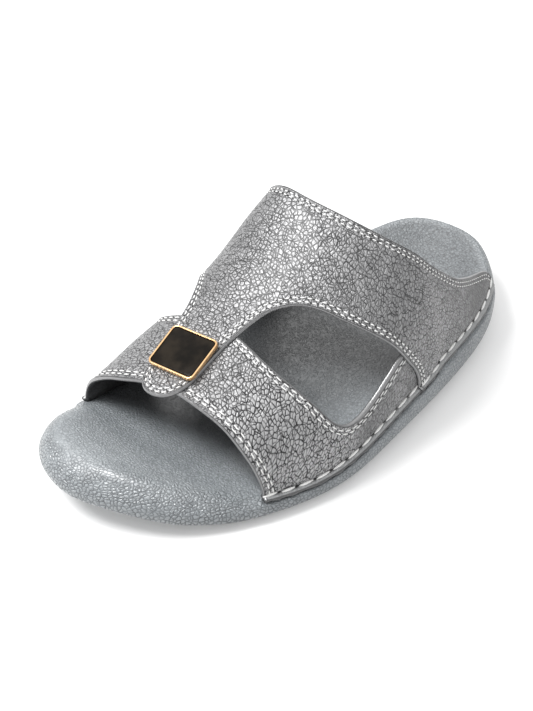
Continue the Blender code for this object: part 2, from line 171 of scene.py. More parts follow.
# Shader maths: a wire is one socket, and an expression on wires adds its Math nodes
class Wire:
    def __init__(self, tree, socket=None):
        self.tree = tree
        self.socket = socket

    def node(self, kind, settings=None, values=None, out=0):
        made = self.tree.nodes.new("ShaderNode" + kind)
        for name, value in (settings or {}).items():
            setattr(made, name, value)
        for name, value in (values or {}).items():
            if isinstance(value, Wire):
                self.tree.links.new(value.socket, made.inputs[name])
            else:
                made.inputs[name].default_value = value
        return Wire(self.tree, made.outputs[out])

    def maths(self, operation, first, second):
        return self.node("Math", {"operation": operation}, {0: first, 1: second})

    def __add__(self, other):
        return self.maths("ADD", self, other)

    def __sub__(self, other):
        return self.maths("SUBTRACT", self, other)

    def __rsub__(self, other):
        return self.maths("SUBTRACT", other, self)

    def __mul__(self, other):
        return self.maths("MULTIPLY", self, other)

    __radd__ = __add__
    __rmul__ = __mul__

    def most(self, other):
        return self.maths("MAXIMUM", self, other)

    def between(self, low, high):        # 0 below low, 1 above high, smooth in between
        return self.node("MapRange", {"interpolation_type": "SMOOTHSTEP"},
                         {"Value": self, "From Min": low, "From Max": high})

    def blend(self, first, second):      # colours, this wire is the share of the second
        return self.node("Mix", {"data_type": "RGBA"}, {0: self, 6: first, 7: second}, out=2)


def newMaterial(name):
    material = bpy.data.materials.new(name)
    material.use_nodes = True
    shader = material.node_tree.nodes["Principled BSDF"]
    return material, shader, Wire(material.node_tree)


def feed(shader, socket, wire):
    wire.tree.links.new(wire.socket, shader.inputs[socket])


def attribute(paint, name):
    return paint.node("Attribute", {"attribute_name": name}, out="Fac")


def objectPlace(paint):
    place = paint.node("TexCoord", out="Object")
    parts = paint.node("SeparateXYZ", values={"Vector": place})
    axes = [Wire(paint.tree, parts.socket.node.outputs[axis]) for axis in "XYZ"]
    return place, axes


def noise(paint, place, size, detail=2.0, roughness=0.5):        # size in metres
    return paint.node("TexNoise", values={"Vector": place, "Scale": 1.0 / size, "Detail": detail,
                                          "Roughness": roughness})


def bentPlace(paint, place, size, amount):        # coordinates pushed about by a noise
    drift = paint.node("TexNoise", values={"Vector": place, "Scale": 1.0 / size, "Detail": 1.0}, out="Color")
    drift = paint.node("VectorMath", {"operation": "SUBTRACT"}, {0: drift, 1: (0.5, 0.5, 0.5)})
    drift = paint.node("VectorMath", {"operation": "SCALE"}, {0: drift, "Scale": amount})
    return paint.node("VectorMath", {"operation": "ADD"}, {0: place, 1: drift})


def cellEdge(paint, place, size, dimensions="3D"):        # distance to the nearest cell edge, in cells
    return paint.node("TexVoronoi", {"feature": "DISTANCE_TO_EDGE", "voronoi_dimensions": dimensions},
                      {"Vector": place, "Scale": 1.0 / size}, out="Distance")


def cellTone(paint, place, size):        # one random value for each cell
    tone = paint.node("TexVoronoi", {"feature": "F1", "voronoi_dimensions": "2D"},
                      {"Vector": place, "Scale": 1.0 / size}, out="Color")
    return paint.node("SeparateColor", values={"Color": tone}, out="Red")


def raiseGrain(shader, paint, height, depth, strength):
    feed(shader, "Normal", paint.node("Bump", values={"Height": height, "Distance": depth,
                                                      "Strength": strength}, out="Normal"))


# Upper leather: silver grey, with a network of dark cracks that gets finer towards the heel
leatherLook = {
    "light": (0.40, 0.40, 0.405, 1.0),
    "shade": (0.090, 0.090, 0.092, 1.0),
    "crack": (0.014, 0.014, 0.015, 1.0),
    "band": (0.26, 0.26, 0.263, 1.0),    # smooth strip along a strap's edge
    "lip": (0.36, 0.365, 0.37, 1.0),
    "longCell": 0.0050,          # long cracks, cells and small cells between them
    "cell": 0.0019,
    "smallCell": 0.0011,
    "longBend": (0.0050, 0.0034),        # size and reach of the noise that bends each of them
    "cellBend": (0.0040, 0.0015),
    "smallBend": (0.0020, 0.0009),
    "longLine": (0.010, 0.055),          # width of the cracks, in cells
    "cellLine": (0.02, 0.18),
    "smallLine": (0.01, 0.14),
    "longShow": (0.70, 0.30),    # strength of the cracks, and what patches add
    "cellShow": (0.48, 0.46),
    "smallShow": (0.08, 0.10),
    "longFine": 0.55,            # taken off where the grain is fine
    "cellFine": 0.50,
    "smallFine": 0.16,           # and added there
    "patch": 0.0030,
    "patchEdge": (0.30, 0.62),
    "bandShow": 0.10,            # share of the cracks left on the band
    "lipShow": 0.25,             # and on the lip
    "cellTone": 0.35,            # cells differ in tone, and the strap is cloudy
    "cloudTone": 0.65,
    "cloud": 0.03,
    "toneShade": 0.75,
    "fineShade": 0.60,           # painted shade: where the grain is fine the colour is darker
    "shadeRange": (-0.10, 1.10),
    "crackDark": 0.94,
    "grooveShade": 0.75,
    "grit": 0.0009,
    "roughness": 0.36,
    "crackRough": 0.35,
    "gritRough": 0.14,
    "bandSmooth": 0.08,
    "crackDepth": 0.00020,
    "cellDome": (0.32, 0.50),    # how far a cell swells from its edge, and how much
    "smallDome": (0.30, 0.25),
    "fineFlat": 0.3,
    "crackSink": 0.8,
    "gritRise": 0.16,
    "metallic": 0.60,
    "coat": 0.22,
    "coatRoughness": 0.28,
    "bandWidth": (0.6, 1.1),     # mm from a strap's edge, where the cracks start
    "groove": (0.45, 0.75, 0.85, 1.25),  # mm from the edge, of the painted shade line in the crease beside it
    "lipStart": (0.3, 1.2),      # mm from the seam
    "lipEnd": (2.5, 3.1),        # painted shadow line under the lip's edge
}


def crackLine(cells, width, show, patchy):
    least, more = show
    return (1 - cells.between(*width)) * (least + patchy * more)


def upperLeather():
    look = leatherLook
    material, shader, paint = newMaterial("upperLeather")
    place = paint.node("Attribute", {"attribute_name": "flat"}, out="Vector")
    bent = bentPlace(paint, place, *look["cellBend"])
    long = cellEdge(paint, bentPlace(paint, place, *look["longBend"]), look["longCell"], "2D")
    cell = cellEdge(paint, bent, look["cell"], "2D")
    small = cellEdge(paint, bentPlace(paint, place, *look["smallBend"]), look["smallCell"], "2D")
    fine = attribute(paint, "fine")
    patchy = noise(paint, place, look["patch"]).between(*look["patchEdge"])
    longCrack = crackLine(long, look["longLine"], look["longShow"], patchy) * (1 - fine * look["longFine"])
    cellCrack = crackLine(cell, look["cellLine"], look["cellShow"], patchy) * (1 - fine * look["cellFine"])
    least, more = look["smallShow"]
    smallCrack = (1 - small.between(*look["smallLine"])) * (least + more * patchy + fine * look["smallFine"])
    edge = attribute(paint, "edge")
    inner = edge.between(*look["bandWidth"])
    grained = look["bandShow"] + inner * (1 - look["bandShow"])
    # painted shade: a dark line in the crease beside a strap's edge
    groove = edge.between(*look["groove"][:2]) * (1 - edge.between(*look["groove"][2:]))
    seam = attribute(paint, "lip")
    lip = seam.between(*look["lipStart"])
    # painted shadow: a dark line under the lip's edge
    groove = groove.most(seam.between(*look["lipEnd"]))
    crack = longCrack.most(cellCrack).most(smallCrack) * grained * (1 - lip * (1 - look["lipShow"]))
    cloud = noise(paint, place, look["cloud"])
    tone = cellTone(paint, bent, look["cell"]) * look["cellTone"] + cloud * look["cloudTone"]
    # painted shade where the grain is fine, towards the heel and on the rails; painted light where fine is
    # below zero, low on the front strap's outside
    shade = (tone * look["toneShade"] + fine * look["fineShade"]).between(*look["shadeRange"])
    colour = inner.blend(look["band"], shade.blend(look["light"], look["shade"]))
    colour = lip.blend(colour, look["lip"])
    # the cracks, and the painted shade and shadow lines
    dark = (crack * look["crackDark"]).most(groove * look["grooveShade"])
    feed(shader, "Base Color", dark.blend(colour, look["crack"]))
    grit = noise(paint, place, look["grit"])
    rough = look["roughness"] + crack * look["crackRough"] + grit * look["gritRough"]
    feed(shader, "Roughness", rough - (1 - inner) * look["bandSmooth"])
    (reach, rise), (smallReach, smallRise) = look["cellDome"], look["smallDome"]
    dome = cell.between(0.0, reach) * rise + small.between(0.0, smallReach) * smallRise
    dome = dome * grained * (1 - fine.most(0.0) * look["fineFlat"])
    height = dome - crack * look["crackSink"] + grit * look["gritRise"]
    raiseGrain(shader, paint, height, look["crackDepth"], 1.0)
    shader.inputs["Metallic"].default_value = look["metallic"]
    shader.inputs["Coat Weight"].default_value = look["coat"]
    shader.inputs["Coat Roughness"].default_value = look["coatRoughness"]
    return material


# Lining: dark, fine-grained
liningLook = {
    "light": (0.085, 0.086, 0.088, 1.0),
    "dark": (0.035, 0.035, 0.036, 1.0),
    "cell": 0.0016,
    "bend": (0.003, 0.001),
    "line": (0.02, 0.16),        # width of the lines between the grains, in grains
    "lineDark": 0.6,
    "cloud": 0.012,
    "cloudEdge": (0.3, 0.7),
    "roughness": 0.62,
    "dome": (0.0, 0.3),
    "depth": 0.00012,
    "strength": 0.8,
}


def strapLining():
    look = liningLook
    material, shader, paint = newMaterial("strapLining")
    place, _ = objectPlace(paint)
    grain = cellEdge(paint, bentPlace(paint, place, *look["bend"]), look["cell"])
    line = 1 - grain.between(*look["line"])
    tone = noise(paint, place, look["cloud"], 3.0).between(*look["cloudEdge"])
    colour = tone.blend(look["light"], look["dark"])
    feed(shader, "Base Color", (line * look["lineDark"]).blend(colour, look["dark"]))
    shader.inputs["Roughness"].default_value = look["roughness"]
    raiseGrain(shader, paint, grain.between(*look["dome"]), look["depth"], look["strength"])
    return material


# Moulded sole: bluish grey, scaly on the bumper and the side, fine-grained on top
soleLook = {
    "light": (0.285, 0.307, 0.322, 1.0),
    "dark": (0.220, 0.238, 0.252, 1.0),
    "valley": (0.010, 0.011, 0.012, 1.0),
    "scale": 0.0020,
    "scaleBend": (0.0042, 0.0021),       # size and reach of the noise that bends the scales
    "grain": 0.0017,
    "grainBend": (0.0020, 0.0016),
    "clouds": ((0.018, 4.0, 0.6), (0.0032, 3.0, 0.7)),   # size, detail and roughness of the tone's two noises
    "cloudEdge": (0.32, 0.68),
    "speck": 0.0012,
    "speckEdge": (0.35, 0.70),
    "worn": 0.0050,              # patches where the scales are shallow
    "wornEdge": (0.30, 0.65),
    "wornShare": 0.40,
    "valleyLine": (0.015, 0.20),         # width of the valleys, in scales
    "wrinkleLine": (0.0, 0.16),
    "valleyDark": 0.66,
    "wrinkleDark": 0.34,
    "speckDark": 0.16,
    "strapShadow": 0.90,             # painted shadow on the footbed where the straps cover it,
    "heelShade": 0.40,            # painted shade at the heel,
    "heelFrom": (0.020, 0.080),
    "lowShade": 0.34,             # and painted shade on the side towards the floor
    "lowSide": (0.000, 0.016),
    "roughness": 0.28,
    "valleyRough": 0.30,
    "speckRough": 0.08,
    "topRoughness": 0.34,        # added on the fine-grained top
    "scaleDepth": 0.00046,
    "scaleDome": (0.0, 0.46),
    "grainDome": (0.0, 0.40),
    "grainRise": 0.50,
    "speckRise": 0.12,
    "coat": 1.0,                 # smooth gloss over the scales
    "coatEdge": (0.02, 0.30),
    "coatRoughness": 0.36,
    "specular": 0.5,
    "heelReach": (0.005, 0.011),         # from the outline, where the scales give way to fine grain
    "toeReach": (0.005, 0.026),
    "toeFrom": (-0.050, -0.105),
    "toeAcross": (-0.042, 0.0),
    "heelShare": 0.60,           # share of the scales' depth at the heel
}


def soleFoam(name):
    look = soleLook
    material, shader, paint = newMaterial(name)
    place, axes = objectPlace(paint)
    wrap = paint.node("UVMap", {"uv_map": "wrap"})
    scale = cellEdge(paint, bentPlace(paint, wrap, *look["scaleBend"]), look["scale"], "2D")
    grain = cellEdge(paint, bentPlace(paint, place, *look["grainBend"]), look["grain"])
    wide, close = (noise(paint, place, *cloud) for cloud in look["clouds"])
    tone = (wide * 0.5 + close * 0.5).between(*look["cloudEdge"])
    colour = tone.blend(look["light"], look["dark"])
    speck = noise(paint, place, look["speck"]).between(*look["speckEdge"])
    coarse = attribute(paint, "coarse")
    worn = noise(paint, place, look["worn"]).between(*look["wornEdge"])
    scaly = coarse * (1 - look["wornShare"] + worn * look["wornShare"])
    valley = (1 - scale.between(*look["valleyLine"])) * scaly
    wrinkle = (1 - grain.between(*look["wrinkleLine"])) * (1 - coarse)
    # painted shadow on the footbed under the straps
    strapShadow = attribute(paint, "strapShadow") * look["strapShadow"]
    # painted shade: the footbed darker towards the heel, away from the scales
    heel = axes[1].between(*look["heelFrom"]) * (1 - coarse) * look["heelShade"]
    # painted shade: the side darker towards the floor
    low = (1 - axes[2].between(*look["lowSide"])) * look["lowShade"]
    # the valleys' and wrinkles' own dark is mixed here with the painted shade, and below with the painted
    # shadow of the straps; all darken towards the valleys' colour
    side = valley * look["valleyDark"] + low
    top = wrinkle * look["wrinkleDark"] + speck * look["speckDark"] + heel
    feed(shader, "Base Color", side.most(top).most(strapShadow).blend(colour, look["valley"]))
    rough = look["roughness"] + valley * look["valleyRough"] + speck * look["speckRough"]
    feed(shader, "Roughness", rough + (1 - coarse) * look["topRoughness"])
    height = scale.between(*look["scaleDome"]) * scaly + grain.between(*look["grainDome"]) * look["grainRise"]
    raiseGrain(shader, paint, height + speck * look["speckRise"], look["scaleDepth"], 1.0)
    feed(shader, "Coat Weight", coarse * scale.between(*look["coatEdge"]) * look["coat"])
    shader.inputs["Coat Roughness"].default_value = look["coatRoughness"]
    shader.inputs["Specular IOR Level"].default_value = look["specular"]
    return material


# Thread, needle holes painted as dark spots of shade, badge
threadLook = {
    "light": (0.88, 0.88, 0.87, 1.0),
    "dark": (0.66, 0.66, 0.65, 1.0),
    "fibre": 0.0004,
    "fibreEdge": (0.3, 0.7),
    "roughness": 0.55,
    "depth": 0.00015,
    "strength": 0.6,
}
# needle holes: dark blobs that stand in for the shade inside the holes, in two dark tones
holeShadeLook = {
    "deep": (0.012, 0.012, 0.012, 1.0),
    "lighterShade": (0.03, 0.03, 0.03, 1.0),
    "grain": 0.0006,
    "roughness": 0.8,
}
goldLook = {
    "bright": (0.86, 0.58, 0.32, 1.0),
    "dull": (0.72, 0.44, 0.22, 1.0),
    "wear": 0.003,
    "wearEdge": (0.3, 0.75),
    "roughness": (0.16, 0.16),   # least, and what wear adds
}
enamelLook = {
    "dark": (0.008, 0.007, 0.006, 1.0),
    "light": (0.020, 0.016, 0.012, 1.0),
    "cloud": 0.009,
    "cloudEdge": (0.35, 0.7),
    "roughness": (0.12, 0.10),   # least, and what the clouds add
    "specular": 0.06,
}


def sewingThread():
    look = threadLook
    material, shader, paint = newMaterial("sewingThread")
    place, _ = objectPlace(paint)
    fibre = noise(paint, place, look["fibre"])
    feed(shader, "Base Color", fibre.between(*look["fibreEdge"]).blend(look["light"], look["dark"]))
    shader.inputs["Roughness"].default_value = look["roughness"]
    raiseGrain(shader, paint, fibre, look["depth"], look["strength"])
    return material


# painted shade of a needle hole
def needleHoleShade():
    look = holeShadeLook
    material, shader, paint = newMaterial("needleHoleShade")
    place, _ = objectPlace(paint)
    feed(shader, "Base Color", noise(paint, place, look["grain"]).blend(look["deep"], look["lighterShade"]))
    shader.inputs["Roughness"].default_value = look["roughness"]
    return material


def polishedGold():
    look = goldLook
    material, shader, paint = newMaterial("polishedGold")
    place, _ = objectPlace(paint)
    wear = noise(paint, place, look["wear"], 4.0)
    feed(shader, "Base Color", wear.between(*look["wearEdge"]).blend(look["bright"], look["dull"]))
    least, more = look["roughness"]
    feed(shader, "Roughness", least + wear * more)
    shader.inputs["Metallic"].default_value = 1.0
    return material


def blackEnamel():
    look = enamelLook
    material, shader, paint = newMaterial("blackEnamel")
    place, _ = objectPlace(paint)
    cloud = noise(paint, place, look["cloud"], 3.0).between(*look["cloudEdge"])
    feed(shader, "Base Color", cloud.blend(look["dark"], look["light"]))
    least, more = look["roughness"]
    feed(shader, "Roughness", least + cloud * more)
    shader.inputs["Specular IOR Level"].default_value = look["specular"]
    return material


# Sole and footbed: one smooth skin over both solids, parted along the edge of the footbed
soleShape = {
    "facing": 0.001,             # faces of sole and insole nearer than this look at each other, out of sight
    "mergeGap": 0.0005,          # corners of the two solids that are joined, and wider at the open edge
    "closeGap": 0.0020,
    "joinAngles": (50, 80),      # degrees, for pairs of triangles that become quads
    "rounds": 2,                 # of subdivision
    "recess": 0.0028,            # depth of the pocket under the footbed
    "insole": 0.0025,            # thickness of the footbed
    "softRounds": 8,             # the edge between footbed and rim is smoothed away, most at the edge itself
    "softSteps": (1.0, 0.88, 0.76, 0.64, 0.52, 0.40, 0.28),
    "softOutside": 0.0055,
    "softInside": 0.0160,
    "toeRounds": 30,             # at the toe the footbed runs out into the bumper
    "toeOutside": 0.0150,
    "toeInside": 0.0400,
    "toeFrom": (-0.060, -0.085),
    "toeRise": 0.0040,
    "riseFrom": (-0.090, -0.120),
    "riseWidth": (0.0115, 0.0105),       # highest so far from the outline, and how far it spreads
    "topFacing": 0.3,            # least upward part of the normal on the top
    "skyRays": 40,
    "rayLift": 0.0006,
    "skyAxis": (0.15, -0.42, 0.90),      # the light falls in from the front, within a cone
    "skyWidth": 0.45,
    "cover": (0.25, 0.90),       # share of the cone that the straps take, from open to the full painted shadow
    "creaseDepth": 0.0003,       # fold between footbed and bumper, at the front on the outside
    "creaseWidth": 0.0022,
    "creaseFrom": (-0.010, 0.015),       # across, where it fades in
    "creaseTo": (-0.070, -0.095),        # along, where it fades out
}


def mergedCopy(node):        # a copy of a solid, its loose triangles joined
    bm = bmesh.new()
    bm.from_mesh(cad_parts[node].data)
    bmesh.ops.remove_doubles(bm, verts=bm.verts, dist=sameSpot)
    return bm


def dropHidden(bm, other):        # takes away the faces that lie close against another solid
    wall = BVHTree.FromBMesh(other)
    hidden = [face for face in bm.faces
              if wall.ray_cast(face.calc_center_median(), face.normal, soleShape["facing"])[0] is not None]
    bmesh.ops.delete(bm, geom=hidden, context="FACES")


def joinedSkin():        # outside of the sole and top of the insole, in one quad mesh
    parts = [mergedCopy(node) for node in ("sole", "insole")]
    whole = [part.copy() for part in parts]
    skin = bmesh.new()
    for number, part in enumerate(parts):
        dropHidden(part, whole[1 - number])
        for face in part.faces:
            face.material_index = number
        mesh = bpy.data.meshes.new("part")
        part.to_mesh(mesh)
        skin.from_mesh(mesh)
        bpy.data.meshes.remove(mesh)
    for part in parts + whole:
        part.free()
    bmesh.ops.remove_doubles(skin, verts=skin.verts, dist=soleShape["mergeGap"])
    rims = [vert for vert in skin.verts if vert.is_boundary]
    bmesh.ops.remove_doubles(skin, verts=rims, dist=soleShape["closeGap"])
    print("sole open edges", sum(edge.is_boundary for edge in skin.edges))
    bend, skew = (math.radians(angle) for angle in soleShape["joinAngles"])
    bmesh.ops.join_triangles(skin, faces=skin.faces, cmp_materials=True, angle_face_threshold=bend,
                             angle_shape_threshold=skew)
    bmesh.ops.recalc_face_normals(skin, faces=skin.faces)
    return skin


def isBed(face):
    return face.material_index == 1


def bedEdgeTree(bm):
    ring = [vert for vert in bm.verts if len({face.material_index for face in vert.link_faces}) == 2]
    return edgeTree([vert.co for vert in ring])


def softenBedEdge(bm, rounds, outside, inside, region):
    tree = bedEdgeTree(bm)
    reach = {}
    for vert in bm.verts:
        wide = inside if any(isBed(face) for face in vert.link_faces) else outside
        gap = tree.find(vert.co)[2] / (wide * max(region(vert.co.y), 1e-6))
        if vert.normal.z > 0 and gap < 1:
            reach[vert] = gap
    for share in soleShape["softSteps"]:
        near = [vert for vert, gap in reach.items() if gap < share]
        for _ in range(rounds):
            bmesh.ops.smooth_vert(bm, verts=near, factor=0.5, use_axis_x=True, use_axis_y=True,
                                  use_axis_z=True)
    bm.normal_update()


def outlineTree():
    plan = solePlan()
    return edgeTree(np.column_stack([plan, np.zeros(len(plan))])), plan


def raiseBumper(bm):        # the toe is full and round
    shape = soleShape
    tree = outlineTree()[0]
    for vert in bm.verts:
        if vert.normal.z > 0:
            gap = tree.find((vert.co.x, vert.co.y, 0))[2]
            share = softStep(*shape["riseFrom"], vert.co.y) * bump(gap, *shape["riseWidth"])
            vert.co.z += shape["toeRise"] * share
    bm.normal_update()


def pressCrease(bm):        # soft trough along the front of the footbed
    shape = soleShape
    tree = bedEdgeTree(bm)
    moves = []
    for vert in bm.verts:
        _, _, gap = tree.find(vert.co)
        if gap < 4 * shape["creaseWidth"] and vert.normal.z > 0:
            share = softStep(*shape["creaseFrom"], vert.co.x) * softStep(*shape["creaseTo"], vert.co.y)
            depth = shape["creaseDepth"] * share * bump(gap, 0.0, shape["creaseWidth"])
            moves.append((vert, vert.normal * -depth))
    for vert, move in moves:
        vert.co += move


def wrapSole(bm):        # the sole's own coordinates: length round the outline, height up and over the side
    look = soleLook
    tree, plan = outlineTree()
    run = np.concatenate([[0], np.cumsum(np.linalg.norm(np.diff(plan, axis=0), axis=1))])
    whole = run[-1] + np.linalg.norm(plan[0] - plan[-1])
    coarse = bm.verts.layers.float.new("coarse")
    skin = bm.verts.layers.float_vector.new("skin")
    wrap = bm.loops.layers.uv.new("wrap")
    spots = {}
    for vert in bm.verts:
        _, number, gap = tree.find((vert.co.x, vert.co.y, 0))
        spots[vert] = (run[number], vert.co.z + gap)
        toe = softStep(*look["toeFrom"], vert.co.y)
        wide = toe * softStep(*look["toeAcross"], vert.co.x)
        low, high = (heel + (front - heel) * wide for heel, front in zip(look["heelReach"], look["toeReach"]))
        vert[coarse] = (look["heelShare"] + (1 - look["heelShare"]) * toe) * (1 - softStep(low, high, gap))
        vert[skin] = vert.normal
    for face in bm.faces:
        first = min(spots[vert][0] for vert in face.verts)
        last = max(spots[vert][0] for vert in face.verts)
        for loop in face.loops:
            along, over = spots[loop.vert]
            if last - first > whole / 2 and along < whole / 2:
                along += whole
            loop[wrap].uv = (along, over)


def coverTop(bm):        # how much of a cone of light the straps take from each point of the top, for the painted shadow under the straps
    upper = mergedCopy("upper")
    wall = BVHTree.FromBMesh(upper)
    upper.free()
    count = soleShape["skyRays"]
    rays = []
    for k in range(count):
        wide = soleShape["skyWidth"] * math.sqrt((k + 0.5) / count)
        turn = k * math.pi * (3 - math.sqrt(5))
        rays.append(Vector(soleShape["skyAxis"]) + Vector((wide * math.cos(turn), wide * math.sin(turn), 0)))
    # painted shadow: high where the straps take the light, 0 in the open
    strapShadow = bm.verts.layers.float.new("strapShadow")
    for vert in bm.verts:
        if vert.normal.z > soleShape["topFacing"]:
            start = vert.co + vert.normal * soleShape["rayLift"]
            hits = sum(wall.ray_cast(start, ray)[0] is not None for ray in rays)
            vert[strapShadow] = softStep(*soleShape["cover"], hits / count)


def markHidden(bm, verts):        # faces of the joint between the two pieces
    verts = set(verts)
    for face in bm.faces:
        if not verts.isdisjoint(face.verts):
            face.material_index = 2


def sinkPocket(bm):        # room in the sole for the footbed
    top = [face for face in bm.faces if isBed(face)]
    made = bmesh.ops.extrude_face_region(bm, geom=top)["geom"]
    bmesh.ops.delete(bm, geom=top, context="FACES")
    floor = [part for part in made if isinstance(part, bmesh.types.BMVert)]
    bmesh.ops.translate(bm, verts=floor, vec=(0, 0, -soleShape["recess"]))
    markHidden(bm, floor)


def thicken(bm):        # the footbed's skin gets an underside and an edge
    under = list(bm.faces)
    low = list(bm.verts)
    bmesh.ops.extrude_face_region(bm, geom=under)
    bmesh.ops.translate(bm, verts=low, vec=(0, 0, -soleShape["insole"]))
    bmesh.ops.reverse_faces(bm, faces=under)
    markHidden(bm, low)
    bmesh.ops.recalc_face_normals(bm, faces=bm.faces)


def keepSkinNormals(mesh):        # both pieces keep the shading of the one skin they were cut from
    skin = mesh.attributes["skin"].data
    normals = [(0.0, 0.0, 1.0)] * len(mesh.loops)
    for face in mesh.polygons:
        for loop in face.loop_indices:
            hidden = face.material_index == 2
            normals[loop] = tuple(face.normal if hidden else skin[mesh.loops[loop].vertex_index].vector)
    mesh.normals_split_custom_set(normals)
    mesh.polygons.foreach_set("material_index", [0] * len(mesh.polygons))


def buildSole():
    shape = soleShape
    skin = meshObject("skin", joinedSkin())
    smooth = skin.modifiers.new("smooth", "SUBSURF")
    smooth.levels = smooth.render_levels = shape["rounds"]
    applied(skin)
    sole = bmesh.new()
    sole.from_mesh(skin.data)
    bpy.data.objects.remove(skin)
    softenBedEdge(sole, shape["softRounds"], shape["softOutside"], shape["softInside"], lambda y: 1)
    raiseBumper(sole)
    softenBedEdge(sole, shape["toeRounds"], shape["toeOutside"], shape["toeInside"],
                  lambda y: softStep(*shape["toeFrom"], y))
    pressCrease(sole)
    sole.normal_update()
    wrapSole(sole)
    coverTop(sole)
    bed = sole.copy()
    bmesh.ops.delete(bed, geom=[face for face in bed.faces if not isBed(face)], context="FACES")
    thicken(bed)
    sinkPocket(sole)
    for name, bm, node in (("soleSkin", sole, "sole"), ("footbed", bed, "insole")):
        piece = meshObject(name, bm)
        keepSkinNormals(piece.data)
        piece.data.materials.clear()
        piece.data.materials.append(soleFoam(name + "Foam"))
        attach(piece, "root")
        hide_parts(node)


# Last: the form that the straps are bent over
shoeLast = {
    "length": 0.277,
    "ballWidth": 0.1184,
    "halfGirth": 0.075,          # ridge to seam at the ball, scale of the flat patterns across
    "flange": 0.0041,
    "fitGap": 0.0003,
    # share of the length from the heel, share of the ball width to the outside
    "outline": ((0.000, 0.006), (0.053, 0.221), (0.157, 0.387), (0.358, 0.494), (0.518, 0.537),
                (0.657, 0.534), (0.837, 0.386), (0.944, 0.182), (1.000, -0.098), (0.965, -0.336),
                (0.852, -0.460), (0.703, -0.459), (0.468, -0.409), (0.288, -0.362), (0.144, -0.350),
                (0.036, -0.250)),
    # share from the heel, height of the tread, height of the rim, its rise on the inside
    "side": ((0.00, 0.0030, 0.0270, 0.0000), (0.06, 0.0000, 0.0270, 0.0000), (0.16, 0.0000, 0.0265, 0.0000),
             (0.32, 0.0000, 0.0255, 0.0000), (0.46, 0.0020, 0.0220, 0.0000), (0.58, 0.0000, 0.0155, 0.0000),
             (0.70, 0.0000, 0.0115, 0.0000), (0.80, 0.0000, 0.0130, 0.0000), (0.90, 0.0030, 0.0180, 0.0042),
             (1.00, 0.0100, 0.0250, 0.0000)),
    "seatOutside": (0.0018, 0.79),       # inset from the outline, share of the height of the side
    "seatInside": (0.0052, 0.97),
    # share from the heel, ridge across, ridge height, roundness outside and inside
    "sections": ((0.04, -0.006, 0.0560, 1.10, 1.10), (0.16, -0.009, 0.0700, 1.25, 1.25),
                 (0.28, -0.014, 0.0980, 1.70, 1.70), (0.40, -0.019, 0.1100, 2.05, 2.05),
                 (0.48, -0.016, 0.0995, 2.15, 2.15), (0.56, -0.012, 0.0810, 2.20, 2.20),
                 (0.64, -0.008, 0.0670, 2.30, 2.30), (0.72, -0.005, 0.0570, 2.40, 2.40),
                 (0.80, -0.003, 0.0486, 2.40, 2.06), (0.90, -0.003, 0.0420, 2.40, 1.75)),
    "girths": (-1.06, 1.06, 425),
    "alongs": (0.08, 0.88, 401),
    "seamSoftness": 0.0011,
    "seamBand": (0.050, 0.025),  # share of the half girth beside the seam, where it is softened
    "outlineStep": 0.0004,
    "tangentReach": 3,           # points of the outline on either side
    "turnCount": 81,             # points of a section before it is spaced
    "flatFrom": 0.6,             # share from the heel where the unrolled length starts
}


def followTable(rows, column, along):        # smooth curve through a table's rows, with no overshoot
    table = np.array(rows, float)
    x, y = table[:, 0], table[:, column]
    slope = np.diff(y) / np.diff(x)
    tangent = np.zeros(len(x))
    for k in range(1, len(x) - 1):
        if slope[k - 1] * slope[k] > 0:
            tangent[k] = 2.0 / (1.0 / slope[k - 1] + 1.0 / slope[k])
    along = np.clip(along, x[0], x[-1])
    k = np.clip(np.searchsorted(x, along, side="right") - 1, 0, len(x) - 2)
    width = x[k + 1] - x[k]
    u = (along - x[k]) / width
    return ((1 + 2 * u) * (1 - u) ** 2 * y[k] + u * (1 - u) ** 2 * width * tangent[k]
            + u * u * (3 - 2 * u) * y[k + 1] + u * u * (u - 1) * width * tangent[k + 1])


def smoothLine(points, closed, step):        # points about a step apart on a curve through the given ones
    points = np.array(points, float)
    if closed:
        ring = np.vstack([points[-1], points, points[0], points[1]])
    else:
        ring = np.vstack([2 * points[0] - points[1], points, 2 * points[-1] - points[-2]])
    line = []
    for p0, p1, p2, p3 in zip(ring, ring[1:], ring[2:], ring[3:]):
        d01, d12, d23 = (max(np.linalg.norm(b - a), 1e-9) ** 0.5 for a, b in ((p0, p1), (p1, p2), (p2, p3)))
        m1 = (p2 - p1) / d12 - (p2 - p0) / (d01 + d12) + (p1 - p0) / d01
        m2 = (p3 - p2) / d23 - (p3 - p1) / (d12 + d23) + (p2 - p1) / d12
        count = max(1, round(np.linalg.norm(p2 - p1) / step))
        for u in np.arange(count) / count:
            line.append((2 * u**3 - 3 * u**2 + 1) * p1 + (u**3 - 2 * u**2 + u) * m1 * d12
                        + (3 * u**2 - 2 * u**3) * p2 + (u**3 - u**2) * m2 * d12)
    if not closed:
        line.append(points[-1])
    return np.array(line)


def solePlan():        # outline of the sole, seen from above
    length = shoeLast["length"]
    plan = smoothLine([(across * shoeLast["ballWidth"], length * (0.5 - along))
                       for along, across in shoeLast["outline"]], True, shoeLast["outlineStep"])
    plan -= (plan.max(0) + plan.min(0)) / 2
    plan[:, 1] *= length / np.ptp(plan[:, 1])
    return plan


